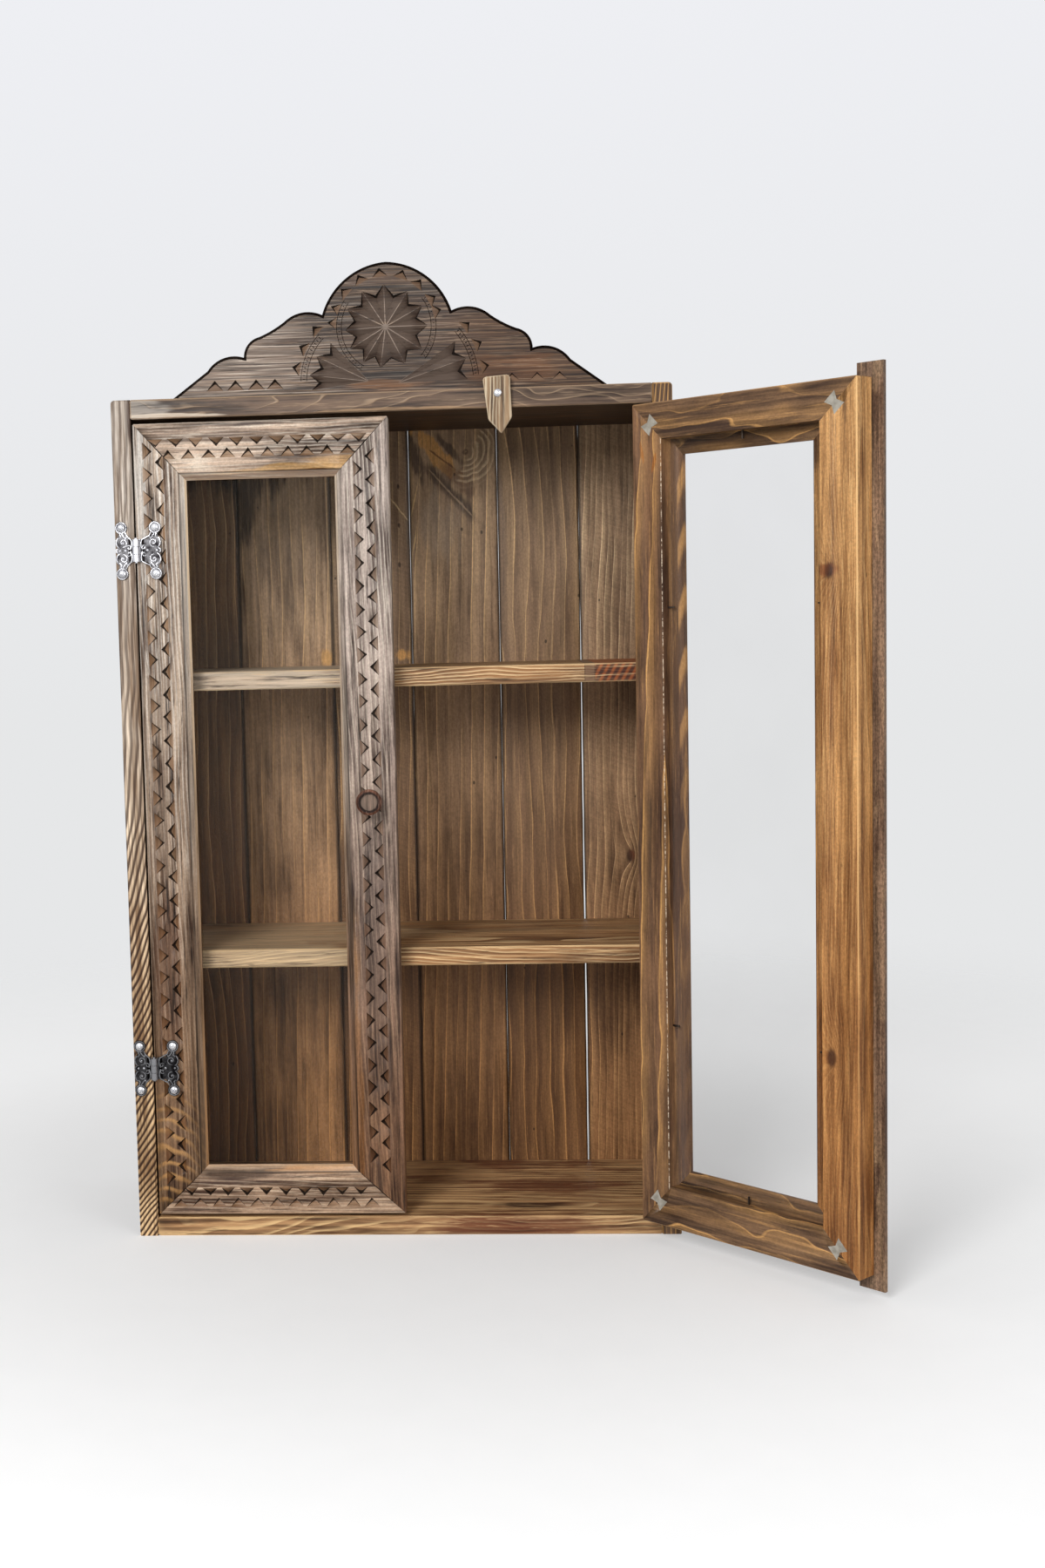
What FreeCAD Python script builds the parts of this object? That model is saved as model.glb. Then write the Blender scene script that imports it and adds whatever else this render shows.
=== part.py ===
import FreeCAD, Part
import math
import os

# A small wall cabinet of stained pine. The case is nailed together from four boards, two
# shelves and a back of six loose planks, under a scalloped crest. Two glazed doors with
# mitred frames hang on surface hinges with butterfly leaves. The left door is shut. The
# right one stands open, and carries the strip that laps the joint between the doors. A
# turn button under the crest holds the doors shut.
# X runs to the right, Y from front to back and Z up. The origin is the middle of the base.

# Case boards
WIDTH = 430.0
HEIGHT = 660.0
CASE_DEPTH = 157.0
BOARD_THICK = 15.0
BOARD_EASE = 1.0
CORNER_ROUND = 3.0

# Shelves
SHELF_THICK = 14.5
SHELF_SETBACK = 22.5
UPPER_SHELF_TOP = 448.5
LOWER_SHELF_TOP = 226.5

# Back planks: where each gap lies across the width, counted from the left
PLANK_THICK = 8.0
PLANK_EASE = 0.6
PLANK_GAP = 1.0
WIDE_PLANK_GAP = 1.8
plank_gap_shares = [0.174, 0.359, 0.517, 0.691, 0.850]

# Crest: half of its outline, from the foot to the middle of the dome. Each point is a share
# of the half width and of the height. "line" ends a straight run, "arc" gives the middle and
# the end of a round one.
CREST_WIDTH = 333.0
CREST_RISE = 97.5
CREST_THICK = 14.0
CREST_SETBACK = 2.0
crest_outline_shares = [
    ("line", (0.835, 0.205)),
    ("arc", (0.748, 0.308), (0.664, 0.302)),
    ("arc", (0.646, 0.396), (0.589, 0.458)),
    ("arc", (0.530, 0.505), (0.474, 0.565)),
    ("arc", (0.385, 0.635), (0.297, 0.610)),
    ("arc", (0.204, 0.856), (0.0, 1.0)),
]
DOWEL_DIAMETER = 8.0
DOWEL_IN_CREST = 18.0
DOWEL_IN_TOP = 10.0
crest_dowel_shares = [-0.6, 0.0, 0.6]

# Square cut nails, driven flush
NAIL_WIDTH = 2.4
CASE_NAIL_LENGTH = 38.0
PLANK_NAIL_LENGTH = 28.0
case_nail_shares = [0.25, 0.75]
plank_end_nail_shares = [0.2, 0.8]
plank_shelf_nail_shares = [0.5]

# Door frames
DOOR_THICK = 18.0
DOOR_GAP_TOP = 3.5
DOOR_GAP_BASE = 2.5
DOOR_GAP_SIDE = 1.5
DOOR_GAP_MIDDLE = 2.5
HINGE_STILE = 40.0
FREE_STILE = 42.0
WIDE_RAIL = 44.0
NARROW_RAIL = 39.0
DOOR_EASE = 0.8
FRONT_CHAMFER = 5.0
LIP_WIDTH = 12.0
LIP_THICK = 8.0
RIGHT_DOOR_OPEN = 135.0

# How far the cut of a mitre runs from the outer corner, as a share of the frame's width there
mitre_reach_share = 1.3

# Glass and the brads that hold it
GLASS_THICK = 3.0
GLASS_PLAY = 1.0
BRAD_WIDTH = 1.2
BRAD_LENGTH = 11.0
BRAD_IN_WOOD = 5.0
BRAD_LIFT = 0.1
stile_brad_shares = [0.22, 0.78]
rail_brad_shares = [0.5]

# Dovetail keys across the back of each mitre
KEY_LENGTH = 12.0
KEY_END_WIDTH = 11.0
KEY_WAIST_WIDTH = 5.5
KEY_DEPTH = 9.0
key_place_share = 0.6

# Strip on the right door that laps the joint between the doors
STRIP_WIDTH = 21.0
STRIP_THICK = 5.5
STRIP_LAP = 8.5
STRIP_OVERRUN = 10.5
STRIP_EASE = 2.0
STRIP_CLEARANCE = 0.5

# Knobs
KNOB_RADIUS = 10.0
KNOB_FOOT_RADIUS = 6.5
KNOB_NECK_RADIUS = 5.0
KNOB_FOOT_HEIGHT = 2.5
KNOB_NECK_HEIGHT = 6.0
KNOB_FLARE_HEIGHT = 12.0
KNOB_HEIGHT = 17.0
KNOB_RIM_EASE = 1.6
KNOB_DISH_RADIUS = 7.0
KNOB_DISH_DEPTH = 2.2
KNOB_TENON_RADIUS = 4.0
KNOB_TENON_LENGTH = 12.0
KNOB_INSET = 20.5
KNOB_RISE = 17.0

# Hinges: leaf sizes run outward from the pin and up from the middle of the knuckles
HINGE_FROM_TOP = 97.0
HINGE_FROM_BASE = 119.0
PIN_INSET = 0.3
PIN_PROUD = 3.2
PIN_DIAMETER = 2.4
PIN_CLEARANCE = 0.08
PIN_END = 0.9
KNUCKLE_RADIUS = 2.9
KNUCKLE_LENGTH = 17.4
KNUCKLE_GAP = 0.3
KNUCKLE_COUNT = 3
LEAF_THICK = 1.2
LEAF_START = 2.6
CASE_LEAF_REACH = 16.4
DOOR_LEAF_REACH = 19.4
EAR_RADIUS = 4.7
EAR_RISE = 17.7
WING_RADIUS = 5.6
WING_RISE = 6.4
LOBE_RADIUS = 2.6
SCREW_HOLE_RADIUS = 1.5

# Screws
SCREW_DIAMETER = 2.4
SCREW_LENGTH = 12.0
SCREW_HEAD_RADIUS = 3.2
SCREW_HEAD_THICK = 1.5
SCREW_CROWN_RADIUS = 1.9

# Turn button, measured from its screw, which stands at a share of the crest's half width
BUTTON_TOP = 13.0
BUTTON_SHOULDER = 19.0
BUTTON_TIP = 30.6
BUTTON_TOP_WIDTH = 20.6
BUTTON_SHOULDER_WIDTH = 18.0
BUTTON_CLIP = 1.6
BUTTON_THICK = 5.0
BUTTON_BOSS_RADIUS = 4.0
BUTTON_BOSS_HEIGHT = 0.3
BUTTON_TILT = 4.5
button_place_share = 0.5
BUTTON_BELOW_TOP = 4.6
BUTTON_SCREW_LENGTH = 24.0
BUTTON_SCREW_CLEARANCE = 0.06

# Shared allowances: how far a cutter runs past the face it cuts, and how near an edge has
# to lie to a place to count as the edge there
OVERRUN = 2.0
TOUCH = 0.05

# Derived places
HALF_WIDTH = WIDTH / 2
INNER_HALF = HALF_WIDTH - BOARD_THICK
FRONT = -(CASE_DEPTH + PLANK_THICK) / 2
CASE_BACK = FRONT + CASE_DEPTH
BACK = CASE_BACK + PLANK_THICK
CASE_TOP_UNDERSIDE = HEIGHT - BOARD_THICK
DOOR_LOW = BOARD_THICK + DOOR_GAP_BASE
DOOR_HIGH = CASE_TOP_UNDERSIDE - DOOR_GAP_TOP
DOOR_BACK = FRONT + DOOR_THICK
DOOR_HINGE_EDGE = INNER_HALF - DOOR_GAP_SIDE
DOOR_FREE_EDGE = DOOR_GAP_MIDDLE / 2
PIN_X = DOOR_HINGE_EDGE - PIN_INSET
PIN_Y = FRONT - PIN_PROUD
KNOB_Z = (DOOR_LOW + DOOR_HIGH) / 2 + KNOB_RISE
HINGE_UPPER_Z = DOOR_HIGH - HINGE_FROM_TOP
HINGE_LOWER_Z = DOOR_LOW + HINGE_FROM_BASE
BUTTON_X = button_place_share * CREST_WIDTH / 2
BUTTON_Z = HEIGHT - BUTTON_BELOW_TOP

VECTOR = FreeCAD.Vector
ORIGIN = VECTOR(0, 0, 0)
ALONG_X = VECTOR(1, 0, 0)
ALONG_Y = VECTOR(0, 1, 0)
ALONG_Z = VECTOR(0, 0, 1)


def block(xs, ys, zs):
    """Box between two x, two y and two z values, given in any order."""
    corner = VECTOR(min(xs), min(ys), min(zs))
    return Part.makeBox(max(xs) - min(xs), max(ys) - min(ys), max(zs) - min(zs), corner)


def eased(solid, size):
    """The solid with every arris taken off by a small flat."""
    return solid.makeChamfer(size, solid.Edges)


def prism(outline, y_front, y_back):
    """Flat outline of (x, z) points carried from one y to another."""
    points = [VECTOR(x, y_front, z) for x, z in outline]
    face = Part.Face(Part.makePolygon(points + points[:1]))
    return face.extrude(VECTOR(0, y_back - y_front, 0))


def disc(x, z, radius, y_front, y_back):
    """Round plate that stands square to the front."""
    return Part.makeCylinder(radius, y_back - y_front, VECTOR(x, y_front, z), ALONG_Y)


def square_bar(start, direction, length, width):
    """Square bar that runs along one axis from the middle of its end."""
    spans = []
    for near, far in zip(start, start + direction * length):
        spans.append((near, far) if near != far else (near - width / 2, near + width / 2))
    return block(*spans)


def fused(first, others):
    return first.fuse(others).removeSplitter()


def cut_all(solid, tools):
    for tool in tools:
        solid = solid.cut(tool)
    return solid


def side_board(side):
    """One side, rounded where its top meets its outer face."""
    outer = side * HALF_WIDTH
    board = block((side * INNER_HALF, outer), (FRONT, CASE_BACK), (0, HEIGHT))
    corner = Part.Vertex(VECTOR(outer, (FRONT + CASE_BACK) / 2, HEIGHT))
    top_edge = [edge for edge in board.Edges if edge.distToShape(corner)[0] < TOUCH]
    board = board.makeFillet(CORNER_ROUND, top_edge)
    upright = [edge for edge in board.Edges if edge.BoundBox.ZLength > HEIGHT / 2]
    return board.makeChamfer(BOARD_EASE, upright)


def level_board(low, thick, setback):
    """Board that lies between the two sides."""
    board = block((-INNER_HALF, INNER_HALF), (FRONT + setback, CASE_BACK), (low, low + thick))
    return eased(board, BOARD_EASE)


def plank_edges():
    """Left and right edge of each back plank."""
    last = len(plank_gap_shares) - 1
    left = -HALF_WIDTH
    spans = []
    for index, share in enumerate(plank_gap_shares):
        gap = WIDE_PLANK_GAP if index == last else PLANK_GAP
        middle = WIDTH * share - HALF_WIDTH
        spans.append((left, middle - gap / 2))
        left = middle + gap / 2
    spans.append((left, HALF_WIDTH))
    return spans


def back_plank(span):
    return eased(block(span, (CASE_BACK, BACK), (0, HEIGHT)), PLANK_EASE)


def crest_edges(side):
    """Edges of half the crest, from its foot to the middle of the dome."""
    def place(point):
        return VECTOR(side * point[0] * CREST_WIDTH / 2, 0, point[1] * CREST_RISE)

    edges = []
    start = place((1.0, 0.0))
    for step in crest_outline_shares:
        points = [place(point) for point in step[1:]]
        if step[0] == "line":
            edges.append(Part.LineSegment(start, points[0]).toShape())
        else:
            edges.append(Part.Arc(start, points[0], points[1]).toShape())
        start = points[-1]
    return edges


def crest_board():
    foot_left = VECTOR(-CREST_WIDTH / 2, 0, 0)
    foot_right = VECTOR(CREST_WIDTH / 2, 0, 0)
    foot = Part.LineSegment(foot_left, foot_right).toShape()
    wire = Part.Wire(Part.__sortEdges__([foot] + crest_edges(-1) + crest_edges(1)))
    board = Part.Face(wire).extrude(VECTOR(0, CREST_THICK, 0))
    return board.translated(VECTOR(0, FRONT + CREST_SETBACK, HEIGHT))


def crest_dowels():
    y = FRONT + CREST_SETBACK + CREST_THICK / 2
    radius = DOWEL_DIAMETER / 2
    dowels = []
    for share in crest_dowel_shares:
        foot = VECTOR(share * CREST_WIDTH / 2, y, HEIGHT - DOWEL_IN_TOP)
        dowels.append(Part.makeCylinder(radius, DOWEL_IN_TOP + DOWEL_IN_CREST, foot, ALONG_Z))
    return dowels


def level_middles():
    """Height and front setback of the four level boards, at the middle of their edges."""
    return {
        "top_board": (HEIGHT - BOARD_THICK / 2, 0),
        "bottom_board": (BOARD_THICK / 2, 0),
        "upper_shelf": (UPPER_SHELF_TOP - SHELF_THICK / 2, SHELF_SETBACK),
        "lower_shelf": (LOWER_SHELF_TOP - SHELF_THICK / 2, SHELF_SETBACK),
    }


def case_nails():
    """Nails through the sides into the ends of the level boards."""
    nails = []
    for z, setback in level_middles().values():
        for share in case_nail_shares:
            y = FRONT + setback + share * (CASE_DEPTH - setback)
            for side in (-1, 1):
                head = VECTOR(side * HALF_WIDTH, y, z)
                nails.append(square_bar(head, ALONG_X * -side, CASE_NAIL_LENGTH, NAIL_WIDTH))
    return nails


def plank_nails():
    """Nails through the planks into the level boards: two at each end, one at each shelf."""
    nails = []
    for left, right in plank_edges():
        low = max(left, -INNER_HALF)
        high = min(right, INNER_HALF)
        for z, setback in level_middles().values():
            shares = plank_shelf_nail_shares if setback else plank_end_nail_shares
            for share in shares:
                head = VECTOR(low + share * (high - low), BACK, z)
                nails.append(square_bar(head, ALONG_Y * -1, PLANK_NAIL_LENGTH, NAIL_WIDTH))
    return nails


def rail_widths(side):
    """Top and bottom rail widths: the right frame is the left one turned over."""
    if side < 0:
        return WIDE_RAIL, NARROW_RAIL
    return NARROW_RAIL, WIDE_RAIL


def sight(side):
    """Edges of the hole in a door frame: free x, hinge x, low z and high z."""
    top_rail, bottom_rail = rail_widths(side)
    free_x = side * (DOOR_FREE_EDGE + FREE_STILE)
    hinge_x = side * (DOOR_HINGE_EDGE - HINGE_STILE)
    return free_x, hinge_x, DOOR_LOW + bottom_rail, DOOR_HIGH - top_rail


def widened(hole, side, size):
    """The same four edges, moved outward."""
    free_x, hinge_x, low, high = hole
    return free_x - side * size, hinge_x + side * size, low - size, high + size


def rectangle(hole, y):
    free_x, hinge_x, low, high = hole
    corners = [VECTOR(x, y, z) for x, z in
               ((free_x, low), (hinge_x, low), (hinge_x, high), (free_x, high))]
    return Part.makePolygon(corners + corners[:1])


def frame_blank(side):
    """Whole door frame, with its hole, its front chamfer and the rebate for the glass."""
    hole = sight(side)
    free_x, hinge_x, low, high = hole
    edges = (side * DOOR_FREE_EDGE, side * DOOR_HINGE_EDGE)
    blank = eased(block(edges, (FRONT, DOOR_BACK), (DOOR_LOW, DOOR_HIGH)), DOOR_EASE)
    through = block((free_x, hinge_x), (FRONT - OVERRUN, DOOR_BACK + OVERRUN), (low, high))
    pocket_free, pocket_hinge, pocket_low, pocket_high = widened(hole, side, LIP_WIDTH)
    rebate = block((pocket_free, pocket_hinge), (FRONT + LIP_THICK, DOOR_BACK + OVERRUN),
                   (pocket_low, pocket_high))
    mouth = rectangle(widened(hole, side, FRONT_CHAMFER + OVERRUN), FRONT - OVERRUN)
    throat = rectangle(hole, FRONT + FRONT_CHAMFER)
    chamfer = Part.makeLoft([mouth, throat], True, True)
    return cut_all(blank, [through, rebate, chamfer])


def mitre_ends(side):
    """For each frame corner, its outer point and a point past the hole's corner."""
    free_x, hinge_x, low, high = sight(side)
    reach = mitre_reach_share
    corners = {}
    for place, outer_x, inner_x in (("free", side * DOOR_FREE_EDGE, free_x),
                                    ("hinge", side * DOOR_HINGE_EDGE, hinge_x)):
        for level, outer_z, inner_z in (("low", DOOR_LOW, low), ("high", DOOR_HIGH, high)):
            past = (outer_x + (inner_x - outer_x) * reach, outer_z + (inner_z - outer_z) * reach)
            corners[place, level] = ((outer_x, outer_z), past)
    return corners


def frame_members(side):
    """The two stiles and two rails, cut from the blank along the mitres."""
    blank = frame_blank(side)
    corners = mitre_ends(side)
    runs = {
        "free_stile": (("free", "low"), ("free", "high")),
        "hinge_stile": (("hinge", "low"), ("hinge", "high")),
        "bottom_rail": (("free", "low"), ("hinge", "low")),
        "top_rail": (("free", "high"), ("hinge", "high")),
    }
    members = {}
    for name, (first, second) in runs.items():
        outline = [corners[first][0], corners[first][1], corners[second][1], corners[second][0]]
        members[name] = blank.common(prism(outline, FRONT - OVERRUN, DOOR_BACK + OVERRUN))
    return members


def key_outline():
    """Butterfly outline: wide at both ends and narrow at its waist."""
    end = KEY_LENGTH / 2
    wide = KEY_END_WIDTH / 2
    waist = KEY_WAIST_WIDTH / 2
    return [(-end, wide), (0, waist), (end, wide), (end, -wide), (0, -waist), (-end, -wide)]


def corner_keys(side):
    """Butterfly keys let into the back, one across each mitre."""
    pocket_free, pocket_hinge, pocket_low, pocket_high = widened(sight(side), side, LIP_WIDTH)
    inner = {"free": pocket_free, "hinge": pocket_hinge, "low": pocket_low, "high": pocket_high}
    keys = []
    for (place, level), (outer, _) in mitre_ends(side).items():
        run_x = inner[place] - outer[0]
        run_z = inner[level] - outer[1]
        length = math.hypot(run_x, run_z)
        along = (run_x / length, run_z / length)
        across = (-along[1], along[0])
        middle = (outer[0] + run_x * key_place_share, outer[1] + run_z * key_place_share)
        points = []
        for a, b in key_outline():
            x = middle[0] + across[0] * a + along[0] * b
            z = middle[1] + across[1] * a + along[1] * b
            points.append((x, z))
        keys.append(prism(points, DOOR_BACK - KEY_DEPTH, DOOR_BACK))
    return keys


def glass_pane(side):
    free_x, hinge_x, low, high = widened(sight(side), side, LIP_WIDTH - GLASS_PLAY)
    seat = FRONT + LIP_THICK
    return block((free_x, hinge_x), (seat, seat + GLASS_THICK), (low, high))


def brad(wall, outward):
    """Square brad that stands out of a point on a wall, across the glass."""
    return square_bar(wall + outward * BRAD_IN_WOOD, outward * -1, BRAD_LENGTH, BRAD_WIDTH)


def glazing_brads(side):
    """Brads in the rebate's walls, just behind the glass."""
    free_x, hinge_x, low, high = widened(sight(side), side, LIP_WIDTH)
    y = FRONT + LIP_THICK + GLASS_THICK + BRAD_WIDTH / 2 + BRAD_LIFT
    brads = []
    for wall_x, outward in ((free_x, -side), (hinge_x, side)):
        for share in stile_brad_shares:
            wall = VECTOR(wall_x, y, low + share * (high - low))
            brads.append(brad(wall, ALONG_X * outward))
    for wall_z, outward in ((low, -1), (high, 1)):
        for share in rail_brad_shares:
            wall = VECTOR(free_x + share * (hinge_x - free_x), y, wall_z)
            brads.append(brad(wall, ALONG_Z * outward))
    return brads


def knob(side):
    """Turned knob with a dished face and a round tenon let into the stile."""
    profile = [
        (0, -KNOB_TENON_LENGTH),
        (KNOB_TENON_RADIUS, -KNOB_TENON_LENGTH),
        (KNOB_TENON_RADIUS, 0),
        (KNOB_FOOT_RADIUS, 0),
        (KNOB_FOOT_RADIUS, KNOB_FOOT_HEIGHT),
        (KNOB_NECK_RADIUS, KNOB_NECK_HEIGHT),
        (KNOB_RADIUS, KNOB_FLARE_HEIGHT),
        (KNOB_RADIUS, KNOB_HEIGHT - KNOB_RIM_EASE),
        (KNOB_RADIUS - KNOB_RIM_EASE, KNOB_HEIGHT),
        (KNOB_DISH_RADIUS, KNOB_HEIGHT),
        (KNOB_DISH_RADIUS, KNOB_HEIGHT - KNOB_DISH_DEPTH),
        (0, KNOB_HEIGHT - KNOB_DISH_DEPTH),
    ]
    points = [VECTOR(radius, -height, 0) for radius, height in profile]
    turned = Part.Face(Part.makePolygon(points + points[:1])).revolve(ORIGIN, ALONG_Y)
    return turned.translated(VECTOR(side * (DOOR_FREE_EDGE + KNOB_INSET), FRONT, KNOB_Z))


def lapping_strip():
    """Strip on the right door, relieved where it laps the left door and the case."""
    own_edge = DOOR_FREE_EDGE + STRIP_WIDTH - STRIP_LAP
    lap_edge = DOOR_FREE_EDGE - STRIP_LAP
    ends = (DOOR_LOW - STRIP_OVERRUN, DOOR_HIGH + STRIP_OVERRUN)
    strip = block((lap_edge, own_edge), (FRONT - STRIP_THICK, FRONT), ends)
    nose = [edge for edge in strip.Edges if edge.BoundBox.ZLength > STRIP_WIDTH
            and edge.BoundBox.YMax < FRONT - STRIP_CLEARANCE]
    strip = strip.makeChamfer(STRIP_EASE, nose)
    relief = (FRONT - STRIP_CLEARANCE, FRONT + OVERRUN)
    full = (ends[0] - OVERRUN, ends[1] + OVERRUN)
    beside = block((lap_edge - OVERRUN, DOOR_FREE_EDGE), relief, full)
    below = block((lap_edge, own_edge + OVERRUN), relief, (ends[0] - OVERRUN, DOOR_LOW))
    above = block((lap_edge, own_edge + OVERRUN), relief, (DOOR_HIGH, ends[1] + OVERRUN))
    return cut_all(strip, [beside, below, above])


def ear_reach(reach):
    """Distance from the pin to the screw at each ear of a leaf."""
    return reach - EAR_RADIUS


def leaf_blank(reach):
    """Butterfly leaf as a flat plate: two ears, and two wings with a lobe between them."""
    front = -LEAF_THICK
    wing_x = reach - WING_RADIUS
    ear_x = ear_reach(reach)
    root = block((LEAF_START, wing_x), (front, 0), (-KNUCKLE_LENGTH / 2, KNUCKLE_LENGTH / 2))
    pieces = []
    for rise in (-1, 1):
        wing_z = rise * WING_RISE
        ear_z = rise * EAR_RISE
        pieces.append(disc(wing_x, wing_z, WING_RADIUS, front, 0))
        pieces.append(disc(ear_x, ear_z, EAR_RADIUS, front, 0))
        stem = [(wing_x - WING_RADIUS / 2, wing_z), (wing_x + WING_RADIUS / 2, wing_z),
                (ear_x + EAR_RADIUS / 2, ear_z), (ear_x - EAR_RADIUS / 2, ear_z)]
        pieces.append(prism(stem, front, 0))
    pieces.append(disc(reach - LOBE_RADIUS, 0, LOBE_RADIUS, front, 0))
    plate = fused(root, pieces)
    for rise in (-1, 1):
        plate = plate.cut(disc(ear_x, rise * EAR_RISE, SCREW_HOLE_RADIUS, front - OVERRUN, OVERRUN))
    return plate


def knuckle_spans():
    """Low and high end of each knuckle, from the bottom up."""
    pitch = KNUCKLE_LENGTH / KNUCKLE_COUNT
    low = -KNUCKLE_LENGTH / 2
    return [(low + pitch * index + KNUCKLE_GAP / 2, low + pitch * (index + 1) - KNUCKLE_GAP / 2)
            for index in range(KNUCKLE_COUNT)]


def leaf(reach, owns):
    """One leaf with its own knuckles rolled round the pin; owns says which by their number."""
    bore = PIN_DIAMETER / 2 + PIN_CLEARANCE
    back = KNUCKLE_RADIUS - PIN_PROUD
    pieces = []
    for index, (low, high) in enumerate(knuckle_spans()):
        if index % 2 == owns:
            centre = VECTOR(0, -PIN_PROUD, low)
            pieces.append(Part.makeCylinder(KNUCKLE_RADIUS, high - low, centre, ALONG_Z))
            root = block((0, LEAF_START + LEAF_THICK), (back - LEAF_THICK, back), (low, high))
            pieces.append(root)
    solid = fused(leaf_blank(reach), pieces)
    foot = VECTOR(0, -PIN_PROUD, -KNUCKLE_LENGTH)
    return solid.cut(Part.makeCylinder(bore, KNUCKLE_LENGTH * 2, foot, ALONG_Z))


def hinge_pin():
    """Pin that stands a little out of the knuckles at both ends."""
    half = KNUCKLE_LENGTH / 2 + PIN_END
    foot = VECTOR(0, -PIN_PROUD, -half)
    return Part.makeCylinder(PIN_DIAMETER / 2, half * 2, foot, ALONG_Z)


def screw(x, z, seat_y, length):
    """Round-headed screw driven backward, with its head on the given seat."""
    shank = disc(x, z, SCREW_DIAMETER / 2, seat_y, seat_y + length)
    seat = VECTOR(x, seat_y, z)
    radii = (SCREW_HEAD_RADIUS, SCREW_CROWN_RADIUS)
    head = Part.makeCone(*radii, SCREW_HEAD_THICK, seat, ALONG_Y * -1)
    return fused(shank, [head])


def hinge_places():
    return {"upper": HINGE_UPPER_Z, "lower": HINGE_LOWER_Z}


def placed(shape, direction, pin_x, z):
    """A hinge piece built about its pin, turned to face left or right and put in place."""
    if direction < 0:
        shape = shape.mirror(ORIGIN, ALONG_X)
    return shape.translated(VECTOR(pin_x, FRONT, z))


def leaf_screws(direction, pin_x, reach):
    """The screws of one door's two leaves on one side of the pins."""
    x = pin_x + direction * ear_reach(reach)
    length = SCREW_LENGTH + LEAF_THICK
    screws = []
    for z in hinge_places().values():
        for rise in (-1, 1):
            screws.append(screw(x, z + rise * EAR_RISE, FRONT - LEAF_THICK, length))
    return screws


def turn_button():
    """Pointed button that hangs from its screw, leaning a little to the right."""
    top = BUTTON_TOP_WIDTH / 2
    shoulder = BUTTON_SHOULDER_WIDTH / 2
    outline = [
        (-top + BUTTON_CLIP, BUTTON_TOP),
        (top - BUTTON_CLIP, BUTTON_TOP),
        (top, BUTTON_TOP - BUTTON_CLIP),
        (shoulder, -BUTTON_SHOULDER),
        (0, -BUTTON_TIP),
        (-shoulder, -BUTTON_SHOULDER),
        (-top, BUTTON_TOP - BUTTON_CLIP),
    ]
    back = -BUTTON_BOSS_HEIGHT
    body = eased(prism(outline, back - BUTTON_THICK, back), DOOR_EASE)
    body = body.fuse(disc(0, 0, BUTTON_BOSS_RADIUS, back - BUTTON_THICK / 2, 0))
    hole = SCREW_DIAMETER / 2 + BUTTON_SCREW_CLEARANCE
    body = body.cut(disc(0, 0, hole, back - BUTTON_THICK - OVERRUN, OVERRUN))
    body.rotate(ORIGIN, ALONG_Y, -BUTTON_TILT)
    return body.translated(VECTOR(BUTTON_X, FRONT, BUTTON_Z))


def turn_button_screw():
    seat = FRONT - BUTTON_BOSS_HEIGHT - BUTTON_THICK
    return screw(BUTTON_X, BUTTON_Z, seat, BUTTON_SCREW_LENGTH)


def opened(shape):
    """A piece of the right door, swung open about the line of its pins."""
    turned = shape.copy()
    turned.rotate(VECTOR(PIN_X, PIN_Y, 0), ALONG_Z, RIGHT_DOOR_OPEN)
    return turned


def case_pieces():
    """Everything that stays still but the hinges."""
    level = {
        "top_board": level_board(CASE_TOP_UNDERSIDE, BOARD_THICK, 0),
        "bottom_board": level_board(0, BOARD_THICK, 0),
        "upper_shelf": level_board(UPPER_SHELF_TOP - SHELF_THICK, SHELF_THICK, SHELF_SETBACK),
        "lower_shelf": level_board(LOWER_SHELF_TOP - SHELF_THICK, SHELF_THICK, SHELF_SETBACK),
    }
    side_nails = case_nails()
    back_nails = plank_nails()
    dowels = crest_dowels()
    button_screw = turn_button_screw()
    pieces = {}
    for name, board in level.items():
        pieces[name] = cut_all(board, side_nails + back_nails)
    pieces["top_board"] = cut_all(pieces["top_board"], dowels + [button_screw])
    for name, side in (("left_side", -1), ("right_side", 1)):
        pieces[name] = cut_all(side_board(side), side_nails + case_leaf_screws(side))
    for index, span in enumerate(plank_edges()):
        pieces["back_plank_%d" % (index + 1)] = cut_all(back_plank(span), back_nails)
    pieces["crest_board"] = cut_all(crest_board(), dowels)
    pieces["crest_dowels"] = Part.makeCompound(dowels)
    pieces["case_nails"] = Part.makeCompound(side_nails)
    pieces["plank_nails"] = Part.makeCompound(back_nails)
    pieces["turn_button_screw"] = button_screw
    return pieces


def case_leaf_screws(side):
    return leaf_screws(side, side * PIN_X, CASE_LEAF_REACH)


def door_leaf_screws(side):
    return leaf_screws(-side, side * PIN_X, DOOR_LEAF_REACH)


def case_hinge_pieces(name, side):
    """Pins, case leaves and their screws beside one door."""
    pieces = {name + "_hinge_case_screws": Part.makeCompound(case_leaf_screws(side))}
    for level, z in hinge_places().items():
        label = "%s_%s_hinge" % (name, level)
        pieces[label + "_case_leaf"] = placed(leaf(CASE_LEAF_REACH, 0), side, side * PIN_X, z)
        pieces[label + "_pin"] = placed(hinge_pin(), side, side * PIN_X, z)
    return pieces


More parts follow.
